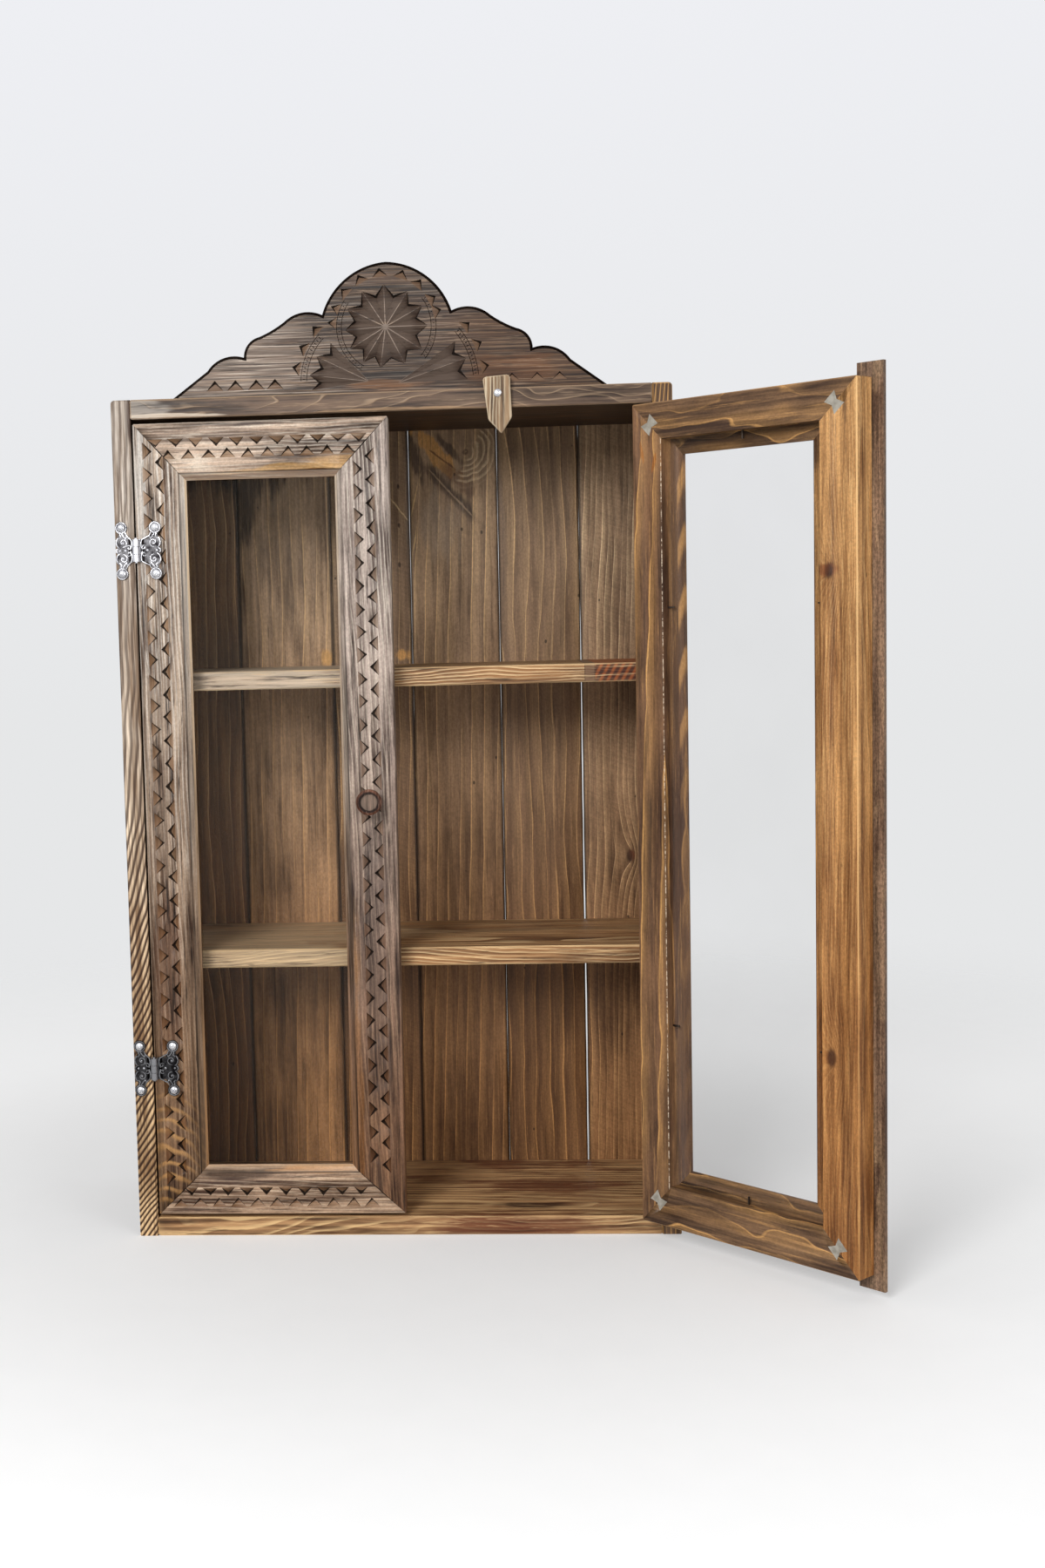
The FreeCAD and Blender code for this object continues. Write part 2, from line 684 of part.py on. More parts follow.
def door_pieces(name, side):
    """One door, shut."""
    keys = corner_keys(side)
    brads = glazing_brads(side)
    screws = door_leaf_screws(side)
    door_knob = knob(side)
    pieces = {}
    for member, solid in frame_members(side).items():
        tools = keys + brads + (screws if member == "hinge_stile" else [])
        if member == "free_stile":
            tools.append(door_knob)
        pieces["%s_door_%s" % (name, member)] = cut_all(solid, tools)
    pieces[name + "_door_glass"] = glass_pane(side)
    pieces[name + "_door_glazing_brads"] = Part.makeCompound(brads)
    pieces[name + "_door_corner_keys"] = Part.makeCompound(keys)
    pieces[name + "_door_knob"] = door_knob
    pieces[name + "_hinge_door_screws"] = Part.makeCompound(screws)
    for level, z in hinge_places().items():
        pieces["%s_%s_hinge_door_leaf" % (name, level)] = placed(
            leaf(DOOR_LEAF_REACH, 1), -side, side * PIN_X, z)
    return pieces


def right_door_pieces():
    pieces = door_pieces("right", 1)
    pieces["right_door_lapping_strip"] = lapping_strip()
    return {name: opened(shape) for name, shape in pieces.items()}


def all_pieces():
    pieces = case_pieces()
    pieces.update(case_hinge_pieces("left", -1))
    pieces.update(case_hinge_pieces("right", 1))
    pieces.update(door_pieces("left", -1))
    pieces.update(right_door_pieces())
    pieces["turn_button"] = turn_button()
    return pieces


os.makedirs("parts", exist_ok=True)
for node, shape in all_pieces().items():
    shape.exportStep("parts/%s.step" % node)
    print(node, len(shape.Solids), "solids, valid", shape.isValid())
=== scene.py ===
from collections import namedtuple
from contextlib import contextmanager
import math
import random
from types import SimpleNamespace

import bmesh
import bpy
from mathutils import Matrix, Vector


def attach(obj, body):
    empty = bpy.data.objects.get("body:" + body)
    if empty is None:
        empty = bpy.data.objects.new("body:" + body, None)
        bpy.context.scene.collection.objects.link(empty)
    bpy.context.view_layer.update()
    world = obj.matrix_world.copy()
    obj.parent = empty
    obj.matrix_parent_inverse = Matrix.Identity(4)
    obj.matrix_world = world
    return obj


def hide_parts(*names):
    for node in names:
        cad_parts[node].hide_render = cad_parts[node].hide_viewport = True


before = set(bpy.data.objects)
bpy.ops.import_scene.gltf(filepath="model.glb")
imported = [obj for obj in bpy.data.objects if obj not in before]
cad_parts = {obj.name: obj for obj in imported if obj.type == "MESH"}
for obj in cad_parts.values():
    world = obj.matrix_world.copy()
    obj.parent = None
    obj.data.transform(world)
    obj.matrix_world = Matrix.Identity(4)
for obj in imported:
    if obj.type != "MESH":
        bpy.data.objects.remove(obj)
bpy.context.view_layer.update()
MM = 0.001

# ---- sizes that repeat the source
FRONT = -82.5
REBATE_EDGE = 170.5
PIN_X, PIN_Y = 198.2, -85.7
RIGHT_OPEN = math.radians(135.0)
DOOR_LOW, DOOR_HIGH = 17.5, 641.5
DOOR_FREE, DOOR_HINGE = 1.25, 198.5
HINGE_STILE, FREE_STILE, WIDE_RAIL, NARROW_RAIL = 40.0, 42.0, 44.0, 39.0
CREST_FACE, CREST_THICK, CREST_FOOT = -80.5, 14.0, 660.0
FOOT_RUN, FOOT_RISE = 33.97, 20.0
HINGE_Z = {"upper": 544.5, "lower": 136.5}
CASE_REACH, DOOR_REACH, EAR_RADIUS, EAR_RISE, WING_RADIUS = 16.4, 19.4, 4.7, 17.7, 5.6
LEAF_THICK = 1.2
BUTTON_X, BUTTON_Z, BUTTON_PROUD = 83.25, 655.4, 5.3
KNOB_X, KNOB_Z = 21.75, 346.5

# ---- sizes of the dressing
CREST_EASE, EASE_DEPTH, EASE_SHARPEST = 2.2, 1.3, 0.45
CUT_RAISED, CUT_LIFT, CUT_LEAN, CUT_LEAN_MOST = 3.0, 0.05, 0.8, 0.6
# marks on the cut faces, which the wood's material reads
OLD_FACE, STAR_FLOOR, CHIP_FLOOR, GROOVE, WALL = 0.0, 0.12, 0.5, 0.8, 1.0
STILE_PITCH, STILE_CHIP, STILE_DEPTH, STILE_MARGIN, RAIL_DEPTH = 17.9, 6.5, 3.2, 11.0, 3.0
MITRE_HALF, MITRE_DEPTH, MITRE_OVERRUN = 0.4, 0.9, 0.02
STAR_EYE, STAR_LAND = 1.2, 0.4
RING_HALF, RING_DEPTH, TICK_PITCH, TICK_INSET, TICK_TURN = 0.28, 0.45, 2.6, 0.5, 0.42
ROSE, LEFT_FAN, RIGHT_FAN = (-1.2, 708.8), (-14.3, 668.2), (7.2, 666.2)
# gaps between planks: where they lie, the most a plank's edge grows into each, and how far
# each stands open at the foot, in the middle and at the top
GAP_PLACE = (-140.2, -60.6, 7.3, 82.1, 150.5)
GAP_HALF = (0.5, 0.5, 0.5, 0.5, 0.9)
GAP_OPEN = ((0.15, 0.12, 0.2), (0.2, 0.2, 0.25), (0.2, 0.22, 0.5), (0.12, 0.16, 0.22),
            (0.75, 0.6, 0.15))
# a plank's edge: steps in its height, waves as size and rate, and how near to shut a gap gets
PLANK_STEPS, EDGE_WAVES, GAP_SHUT = 60, ((0.09, 23), (0.07, 61), (0.06, 157)), 0.97
SHINE, RELIEF, RELIEF_DEPTH = 0.26, 0.4, 0.0008


# ---- mesh helpers
def add_object(name, data):
    obj = bpy.data.objects.new(name, data)
    bpy.context.scene.collection.objects.link(obj)
    return obj


def mesh_from(name, verts, faces):
    """Mesh from millimetre coordinates."""
    mesh = bpy.data.meshes.new(name)
    mesh.from_pydata([Vector(v) * MM for v in verts], [], faces)
    mesh.update()
    return mesh


@contextmanager
def editing(mesh):
    """The mesh as a bmesh, which is written back at the end."""
    work = bmesh.new()
    work.from_mesh(mesh)
    yield work
    work.to_mesh(mesh)
    work.free()


def face_outward(mesh):
    with editing(mesh) as work:
        bmesh.ops.recalc_face_normals(work, faces=work.faces)


def mark_cuts(mesh, marks=None):
    """Gives each face its mark, or marks all as uncut."""
    layer = mesh.attributes.new("cut", "FLOAT", "FACE")
    layer.data.foreach_set("value", marks or [OLD_FACE] * len(mesh.polygons))


def turned_about_pin(mesh):
    """Swings a mesh built on the shut right door to where that door rests, open."""
    pivot = Vector((PIN_X * MM, PIN_Y * MM, 0))
    mesh.transform(Matrix.Translation(pivot) @ Matrix.Rotation(RIGHT_OPEN, 4, "Z")
                   @ Matrix.Translation(-pivot))


def smooth_by_angle(mesh, degrees):
    mesh.shade_smooth()
    mesh.set_sharp_from_angle(angle=math.radians(degrees))


def merged(parts, place=None):
    """Vertices and faces of several parts in one list each."""
    verts, faces = [], []
    for some_verts, some_faces in parts:
        base = len(verts)
        verts += [place(p) if place else p for p in some_verts]
        faces += [tuple(base + i for i in face) for face in some_faces]
    return verts, faces


def centre_of(outline):
    return tuple(sum(point[i] for point in outline) / len(outline) for i in (0, 1))


# ---- cutting
class Solid(list):
    """Vertices of a cutter that is already a whole solid."""


def chip_solid(outline, deep, depth, face_y, floor_mark=WALL):
    """Cutter for one chip: a pit whose facets all fall to one point beside the deep corner."""
    count = len(outline)
    cx, cz = centre_of(outline)
    px, pz = outline[deep] if deep is not None else (cx, cz)
    reach = math.hypot(cx - px, cz - pz) or 1.0
    step = min(CUT_LEAN * depth / reach, CUT_LEAN_MOST) if deep is not None else 0.0
    pit = (px + (cx - px) * step, face_y + depth, pz + (cz - pz) * step)
    top = [(x, face_y - CUT_RAISED, z) for x, z in outline]
    rim = [(x, face_y + CUT_LIFT, z) for x, z in outline]
    faces, marks = [tuple(range(count))], [OLD_FACE]
    for i in range(count):
        j = (i + 1) % count
        faces += [(i, count + i, count + j, j), (count + i, 2 * count, count + j)]
        marks += [OLD_FACE, WALL if deep is None or deep in (i, j) else floor_mark]
    return top + rim + [pit], faces, marks


def cutter_object(name, chips, face_y, open_right):
    solids = [chip if isinstance(chip[0], Solid) else chip_solid(*chip[:3], face_y, *chip[3:])
              for chip in chips]
    mesh = mesh_from(name, *merged([solid[:2] for solid in solids]))
    mark_cuts(mesh, [mark for solid in solids for mark in solid[2]])
    if open_right:
        turned_about_pin(mesh)
    face_outward(mesh)
    return add_object(name, mesh)


def cut_once(piece, cutter):
    """Takes the cutter's solids out of the piece and drops the cutter."""
    boolean = piece.modifiers.new("carving", "BOOLEAN")
    boolean.operation = "DIFFERENCE"
    boolean.solver = "EXACT"
    boolean.object = cutter
    graph = bpy.context.evaluated_depsgraph_get()
    mesh = bpy.data.meshes.new_from_object(piece.evaluated_get(graph))
    piece.modifiers.clear()
    bpy.data.objects.remove(cutter)
    if not mesh.polygons:
        return False
    piece.data = mesh
    return True


def carve(piece, chips, face_y, open_right):
    """Cuts a batch of chips. A batch that the boolean can't take at once is halved."""
    if cut_once(piece, cutter_object(piece.name + "_cutter", chips, face_y, open_right)):
        return
    if len(chips) == 1:
        raise RuntimeError("a chip can't be cut out of " + piece.name)
    half = len(chips) // 2
    carve(piece, chips[:half], face_y, open_right)
    carve(piece, chips[half:], face_y, open_right)


def node_copy(node, suffix):
    """A copy of a CAD node's mesh with its doubled points joined."""
    piece = add_object(node + suffix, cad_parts[node].data.copy())
    piece.data.materials.clear()
    with editing(piece.data) as work:
        bmesh.ops.remove_doubles(work, verts=work.verts, dist=1e-6)
    mark_cuts(piece.data)
    return piece


def stand_in(piece, node, body, degrees=22):
    """Finishes a piece that stands for a CAD node."""
    smooth_by_angle(piece.data, degrees)
    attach(piece, body)
    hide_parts(node)
    return piece


def carved(node, batches, face_y, body, open_right=False, prepare=None):
    """A copy of a CAD node with chips cut out of its face."""
    piece = node_copy(node, "_carved")
    if prepare:
        prepare(piece.data)
    for chips in batches:
        carve(piece, chips, face_y, open_right)
    with editing(piece.data) as work:
        bmesh.ops.dissolve_degenerate(work, edges=work.edges, dist=1e-6)
        bmesh.ops.triangulate(work, faces=work.faces)
    return stand_in(piece, node, body)


# ---- carving on the doors
def row_of_chips(rng, start, end, count, base, apex, half_width, depth, along):
    """Triangular chips in a row. base and apex are offsets across the row's line."""
    chips = []
    pitch = (end - start) / count
    for i in range(count):
        mid = start + pitch * (i + 0.5) + rng.uniform(-0.5, 0.5)
        half = half_width * rng.uniform(0.9, 1.06)
        b = base + rng.uniform(-0.35, 0.35)
        a = apex + rng.uniform(-0.5, 0.5)
        tip = along(mid + rng.uniform(-0.6, 0.6), a)
        chips.append(([along(mid - half, b), tip, along(mid + half, b)], 1,
                      depth * rng.uniform(0.85, 1.15), CHIP_FLOOR))
    return chips


def stile_chips(side, place, rng):
    """Two rows of chips that face each other along a stile: base, apex, lag, chips to add."""
    if place == "hinge":
        edge, inward = side * DOOR_HINGE, -side
        rows = ((6.8, 14.4, 0.0, 1), (23.2, 16.4, 0.0, 1))
    else:
        edge, inward = side * DOOR_FREE, side
        rows = ((11.3, 18.4, 0.5, 0), (27.4, 20.2, 0.0, 1))
    chips = []
    for base, apex, lag, extra in rows:
        low, high = DOOR_LOW + base + STILE_MARGIN, DOOR_HIGH - base - STILE_MARGIN
        total = int((high - low) / STILE_PITCH)
        first = (low + high) / 2 - total * STILE_PITCH / 2 + (lag - 0.25) * STILE_PITCH
        total += extra
        chips += row_of_chips(rng, first, first + total * STILE_PITCH, total, base, apex,
                              STILE_CHIP, STILE_DEPTH,
                              lambda along, off: (edge + inward * off, along))
    return chips


def rail_chips(side, place, rng):
    """Two rows of chips along a rail: base, apex, count, first and last place, half width."""
    if place == "top":
        z_edge, inward = DOOR_HIGH, -1
        rows = ((12.2, 18.8, 11, 9.2, 182.9, 6.3), (27.6, 20.2, 10, 20.0, 173.1, 5.9))
    else:
        z_edge, inward = DOOR_LOW, 1
        rows = ((6.0, 13.2, 11, 9.9, 178.7, 6.3), (21.6, 15.0, 10, 18.0, 169.7, 5.9))
    chips = []
    for base, apex, count, start, end, half in rows:
        chips += row_of_chips(rng, start, end, count, base, apex, half, RAIL_DEPTH,
                              lambda along, off: (side * (DOOR_HINGE - along),
                                                  z_edge + inward * off))
    return chips


def rail_width(side, place):
    """The left door has its wide rail at the top, the right one at the bottom."""
    return WIDE_RAIL if (place == "top") == (side < 0) else NARROW_RAIL


def mitre_grooves(side, place):
    """Thin V grooves where a frame member meets its neighbours on the mitre lines."""
    grooves = []
    for level, z_edge, down in (("top", DOOR_HIGH, -1), ("bottom", DOOR_LOW, 1)):
        for end, edge, inward, stile in (("hinge", DOOR_HINGE, -1, HINGE_STILE),
                                         ("free", DOOR_FREE, 1, FREE_STILE)):
            if place not in (end, level):
                continue
            x0, z0 = side * edge, z_edge
            x1, z1 = side * (edge + inward * stile), z_edge + down * rail_width(side, level)
            length = math.hypot(x1 - x0, z1 - z0)
            nx, nz = -(z1 - z0) / length * MITRE_HALF, (x1 - x0) / length * MITRE_HALF
            mid = ((x0 + x1) / 2, (z0 + z1) / 2)
            far = tuple(a * -MITRE_OVERRUN + b * (1 + MITRE_OVERRUN)
                        for a, b in ((x0, x1), (z0, z1)))
            grooves.append(([(x0, z0), (mid[0] + nx, mid[1] + nz), far,
                             (mid[0] - nx, mid[1] - nz)], None, MITRE_DEPTH))
    return grooves


def alternate(chips):
    """Two batches without neighbours in either, because cutters that touch spoil the cut."""
    return [chips[0::2], chips[1::2]]


# ---- carving on the crest
def polar(centre, radius, degrees):
    a = math.radians(degrees)
    return centre[0] + radius * math.cos(a), centre[1] + radius * math.sin(a)


def shrunk(outline, amount):
    """The outline moved inward, so that a thin land stays between neighbours."""
    cx, cz = centre_of(outline)
    moved = []
    for x, z in outline:
        share = max(0.0, 1 - amount / math.hypot(x - cx, z - cz))
        moved.append((cx + (x - cx) * share, cz + (z - cz) * share))
    return moved


def star_chips(centre, tips, inner_share, depth):
    """The chips between the rays of a star: each is a kite whose outer corner is deep."""
    chips = []
    for (r1, a1), (r2, a2) in zip(tips, tips[1:]):
        middle = (a1 + a2) / 2
        notch = polar(centre, inner_share * (r1 + r2) / 2, middle)
        kite = [polar(centre, STAR_EYE, middle), polar(centre, r1, a1), notch,
                polar(centre, r2, a2)]
        chips.append((shrunk(kite, STAR_LAND), 2, depth, STAR_FLOOR))
    return chips


def outward_chip(centre, radius, degrees, half, height, depth):
    """Triangular chip whose deep corner points away from a centre."""
    mid = polar(centre, radius - height, degrees)
    dx, dz = polar((0.0, 0.0), half, degrees + 90)
    return ([(mid[0] - dx, mid[1] - dz), polar(centre, radius, degrees),
             (mid[0] + dx, mid[1] + dz)], 1, depth, CHIP_FLOOR)


def arc_groove(centre, radius, start, end):
    """A fine V groove along an arc, as one solid."""
    pieces = max(6, int((end - start) / 4))
    near, far = radius - RING_HALF, radius + RING_HALF
    section = ((near, -2), (far, -2), (far, 0), (radius, RING_DEPTH), (near, 0))
    verts, faces, marks = Solid(), [], []
    for i in range(pieces + 1):
        for r, y in section:
            x, z = polar(centre, r, start + (end - start) * i / pieces)
            verts.append((x, CREST_FACE + y, z))
    for i in range(pieces):
        for k in range(5):
            m = (k + 1) % 5
            faces.append((i * 5 + k, i * 5 + m, i * 5 + 5 + m, i * 5 + 5 + k))
            marks.append(GROOVE if k in (2, 3) else OLD_FACE)
    faces += [(4, 3, 2, 1, 0), tuple(pieces * 5 + k for k in range(5))]
    return verts, faces, marks + [GROOVE, GROOVE]


def ring_pair(centre, radius, start, end, gap):
    """Two scribed rings, and the short cuts that cross them."""
    rings = [arc_groove(centre, r, start, end) for r in (radius, radius + gap)]
    cuts = []
    arc = (end - start) * radius / 57.3
    count = int(arc / TICK_PITCH)
    mid = radius + gap / 2
    for i in range(count):
        a = start + (end - start) * (i + 0.5) / count
        cuts.append(([polar(centre, radius + TICK_INSET, a), polar(centre, mid, a - TICK_TURN),
                      polar(centre, radius + gap - TICK_INSET, a),
                      polar(centre, mid, a + TICK_TURN)], None, RING_DEPTH))
    return rings, cuts


def crest_batches():
    """Rosette, two fans, chips about them and along the foot, and the rings."""
    rng = random.Random(7)
    angles = [0, 27.5, 56, 91, 122.5, 153, 183, 210, 236.5, 262, 297, 327, 360]
    radii = [32.5, 32.4, 31.6, 31.8, 32.2, 32.6, 31.0, 32.0, 31.6, 31.4, 32.0, 33.0, 32.5]
    batches = alternate(star_chips(ROSE, list(zip(radii, angles)), 0.78, 3.4))
    crown = [outward_chip(ROSE, 44.5, angle, 5.8 if angle < 150 else 4.4, 6.8,
                          2.6 * rng.uniform(0.85, 1.1))
             for angle in (15, 29, 50.6, 71, 95, 117, 138.5, 158, 174)]
    fans = star_chips(LEFT_FAN, [(42.0, 134), (45.0, 153.4), (46.5, 172.4), (45.0, 187)],
                      0.86, 3.2)
    fans += star_chips(RIGHT_FAN, [(54.0, 1), (55.5, 18), (54.0, 34)], 0.9, 3.2)
    batches += alternate(fans) + [crown]
    sides = [outward_chip(LEFT_FAN, 60.5, angle, 5.8, 6.6, 3.0) for angle in (135, 152, 168)]
    sides += [outward_chip(RIGHT_FAN, 71.0, angle, 5.8, 6.6, 2.6) for angle in (9, 24, 38)]
    batches += alternate(sides)
    foot = []
    for places, half, low, high, depth in (
            ((-133.5, -117.5, -101.5, -87.0), 6.6, 664.6, 672.6, 2.9),
            ((94.5, 113.5, 130.5), 5.6, 665.0, 671.0, 1.4)):
        foot += [([(x - half, low), (x, high), (x + half, low)], 1, depth, CHIP_FLOOR)
                 for x in places]
    batches.append(foot)
    pairs = [ring_pair(*place) for place in (
        (ROSE, 33.6, 146, 240, 3.6), (ROSE, 35.0, -40, 36, 3.8),
        (LEFT_FAN, 48.2, 136, 178, 4.4), (RIGHT_FAN, 58.0, 4, 40, 4.0))]
    return batches + [sum((pair[i] for pair in pairs), []) for i in (0, 1)]


def crest_outline(mesh):
    """The crest's outline as (x, z) in millimetres, anticlockwise from its right foot."""
    work = bmesh.new()
    work.from_mesh(mesh)
    work.normal_update()
    front = {f for f in work.faces
             if f.normal.y < -0.9 and f.calc_center_median().y < (CREST_FACE + 0.2) * MM}
    ahead = {}
    for face in front:
        for loop in face.loops:
            if sum(1 for f in loop.edge.link_faces if f in front) == 1:
                ahead[loop.vert.index] = loop.link_loop_next.vert.index
    work.verts.ensure_lookup_table()
    right_foot = max(ahead, key=lambda i: (work.verts[i].co.x - 4 * work.verts[i].co.z))
    order = [right_foot]
    while ahead[order[-1]] != right_foot:
        order.append(ahead[order[-1]])
    points = [(work.verts[i].co.x / MM, work.verts[i].co.z / MM) for i in order]
    work.free()
    area = sum(a[0] * b[1] - b[0] * a[1] for a, b in zip(points, points[1:] + points[:1]))
    return points if area > 0 else points[:1] + points[:0:-1]


def ease_crest(mesh):
    """Crest with the arris between its front face and its sawn outline taken off."""
    rim = crest_outline(mesh)
    count = len(rim)
    inner = []
    for i in range(count):
        (ax, az), (bx, bz), (cx, cz) = rim[i - 1], rim[i], rim[(i + 1) % count]
        if bz < CREST_FOOT + 0.01:
            inner.append((bx - math.copysign(CREST_EASE * FOOT_RUN / FOOT_RISE, bx), CREST_FOOT))
            continue
        one = Vector((bx - ax, bz - az)).normalized()
        two = Vector((cx - bx, cz - bz)).normalized()
        bisector = Vector((-one.y - two.y, one.x + two.x)).normalized()
        reach = CREST_EASE / max(EASE_SHARPEST, bisector.dot(Vector((-one.y, one.x))))
        inner.append((bx + bisector.x * reach, bz + bisector.y * reach))
    verts = [(x, CREST_FACE, z) for x, z in inner]
    for depth in (EASE_DEPTH, CREST_THICK):
        verts += [(x, CREST_FACE + depth, z) for x, z in rim]
    faces = [tuple(range(count)), tuple(range(3 * count - 1, 2 * count - 1, -1))]
    for i in range(count):
        j = (i + 1) % count
        faces += [(i, count + i, count + j, j),
                  (count + i, 2 * count + i, 2 * count + j, count + j)]
    work = bmesh.new()
    corners = [work.verts.new(Vector(v) * MM) for v in verts]
    for face in faces:
        work.faces.new([corners[i] for i in face])
    bmesh.ops.recalc_face_normals(work, faces=work.faces)
    work.to_mesh(mesh)
    work.free()
    mark_cuts(mesh)


# ---- planks
def gap_share(number, level):
    """Open share of a gap at a level from 0, the foot, to 1, the top."""
    low, middle, high = GAP_OPEN[number]
    if level < 0.5:
        return low + (middle - low) * min(1.0, max(0.0, level * 4 - 0.9))
    return middle + (high - middle) * min(1.0, max(0.0, level * 4 - 2.3))


def ragged_plank(number, rng):
    """A back plank whose sawn edges waver, so that its gaps vary in width."""
    node = "back_plank_%d" % number
    piece = node_copy(node, "_ragged")
    with editing(piece.data) as work:
        xs = [v.co.x for v in work.verts]
        edges = [(edge, sign, gap, [rng.uniform(0, 6.28) for _ in EDGE_WAVES])
                 for edge, sign, gap in ((min(xs), -1, number - 2), (max(xs), 1, number - 1))
                 if 0 <= gap < len(GAP_PLACE)]
        top = max(v.co.z for v in work.verts)
        for i in range(1, PLANK_STEPS):
            bmesh.ops.bisect_plane(work, geom=work.verts[:] + work.edges[:] + work.faces[:],
                                   plane_co=(0, 0, top * i / PLANK_STEPS), plane_no=(0, 0, 1))
        for v in work.verts:
            for edge, sign, gap, phases in edges:
                if abs(v.co.x - edge) < 5e-4:
                    wave = sum(size * math.sin(v.co.z * rate + phase)
                               for (size, rate), phase in zip(EDGE_WAVES, phases))
                    closed = 1 - gap_share(gap, v.co.z / top) + wave
                    v.co.x += sign * GAP_HALF[gap] * min(GAP_SHUT, max(0.0, closed)) * MM
    return stand_in(piece, node, "case")


# ---- hinge relief and screws
def ring_faces(first, rings, sides, closed=False):
    """Quads between rings of points that start at the vertex first."""
    faces = []
    for i in range(rings if closed else rings - 1):
        p, q = first + i * sides, first + (i + 1) % rings * sides
        for k in range(sides):
            m = (k + 1) % sides
            faces.append((p + k, p + m, q + m, q + k))
    return faces


def tube(points, radius, closed=False, sides=6):
    """Round bar along points in millimetres, thinner toward its ends unless it is closed."""
    verts = []
    count = len(points)
    pts = [Vector(p) for p in points]
    for i, here in enumerate(pts):
        swell = radius
        if closed:
            ahead = pts[(i + 1) % count] - pts[i - 1]
        else:
            ahead = pts[min(i + 1, count - 1)] - pts[max(i - 1, 0)]
            swell *= min(1.0, 0.45 + 0.9 * math.sin(math.pi * (i + 0.3) / (count - 0.4)))
        side = ahead.cross(Vector((0, 1, 0))).normalized()
        lift = side.cross(ahead).normalized()
        for k in range(sides):
            a = 2 * math.pi * k / sides
            verts.append(here + side * (math.cos(a) * swell) + lift * (math.sin(a) * swell))
    faces = ring_faces(0, count, sides, closed)
    if not closed:
        faces.append(tuple(range(sides - 1, -1, -1)))
        faces.append(tuple((count - 1) * sides + k for k in range(sides)))
    return verts, faces


def arc_points(cx, cz, radius, start, end, count, y, grow=0.0):
    points = []
    for i in range(count):
        share = i / (count - 1)
        x, z = polar((cx, cz), radius + grow * share, start + (end - start) * share)
        points.append((x, y, z))
    return points


def turned(profile, cx=0.0, cz=0.0, sides=16):
    """Shape turned about a line along Y, from (radius, y) points that start on the line."""
    verts = [(cx, profile[0][1], cz)]
    rings = [point for point in profile if point[0] > 0]
    for r, y in rings:
        for k in range(sides):
            a = 2 * math.pi * k / sides
            verts.append((cx + r * math.cos(a), y, cz + r * math.sin(a)))
    faces = [(0, 1 + (k + 1) % sides, 1 + k) for k in range(sides)]
    faces += ring_faces(1, len(rings), sides)
    if profile[-1][0] == 0:
        last = len(verts) - sides
        faces += [(last + k, last + (k + 1) % sides, len(verts)) for k in range(sides)]
        verts.append((cx, profile[-1][1], cz))
    return verts, faces


def dome(cx, cz, y, radius, height, rings, sides):
    """Low dome that swells forward from the plane y."""
    profile = [(0.0, y - height)]
    for i in range(1, rings + 1):
        a = math.pi / 2 * i / rings
        profile.append((radius * math.sin(a), y - height * math.cos(a)))
    return turned(profile, cx, cz, sides)


def leaf_ornament(reach):
    """Scrollwork on one hinge leaf, in the leaf's own places: x from the pin, z from its middle."""
    y = -LEAF_THICK - 0.05
    ear = reach - EAR_RADIUS
    wing = reach - WING_RADIUS
    parts = []
    for up in (1, -1):
        for points, radius, closed in (
                (arc_points(ear, EAR_RISE, 4.05, 0, 345, 24, y), 0.42, True),
                ([(4.6, y, 0.6), (3.7, y, 3.2), (3.6, y, 6.0), (4.2, y, 8.4),
                  (ear - 4.4, y, 11.4), (ear - 3.3, y, 14.0)], 0.6, False),
                (arc_points(wing, 6.4, 4.9, -62, 48, 9, y), 0.6, False),
                (arc_points(wing - 0.4, 6.2, 0.5, 200, 640, 20, y, 3.0), 0.5, False),
                ([(wing + 2.6, y, 9.4), (wing + 1.2, y, 10.8), (ear + 0.9, y, 12.4),
                  (ear + 0.8, y, 14.2)], 0.55, False),
                ([(wing - 3.0, y, 8.6), (wing - 1.6, y, 10.4), (ear - 0.9, y, 12.4),
                  (ear - 0.6, y, 14.0)], 0.5, False),
                (arc_points(5.9, 2.4, 0.4, 60, -330, 14, y, 1.6), 0.42, False)):
            parts.append(tube([(px, py, pz * up) for px, py, pz in points], radius, closed))
        parts.append(dome(wing - 0.4, 6.2 * up, y, 0.9, 0.8, 2, 8))
        parts.append(dome(ear - 3.9, 10.0 * up, y, 0.7, 0.7, 2, 8))
    parts.append(tube(arc_points(reach - 2.6, 0, 1.9, -75, 75, 9, y), 0.5))
    parts.append(dome(reach - 3.4, 0, y, 1.1, 0.9, 3, 10))
    parts.append(dome(8.6, 0, y, 1.3, 0.9, 3, 10))
    return parts


def joined(name, parts, place=None):
    """One mesh from several parts, each point moved by place."""
    mesh = mesh_from(name, *merged(parts, place))
    face_outward(mesh)
    smooth_by_angle(mesh, 50)
    return mesh


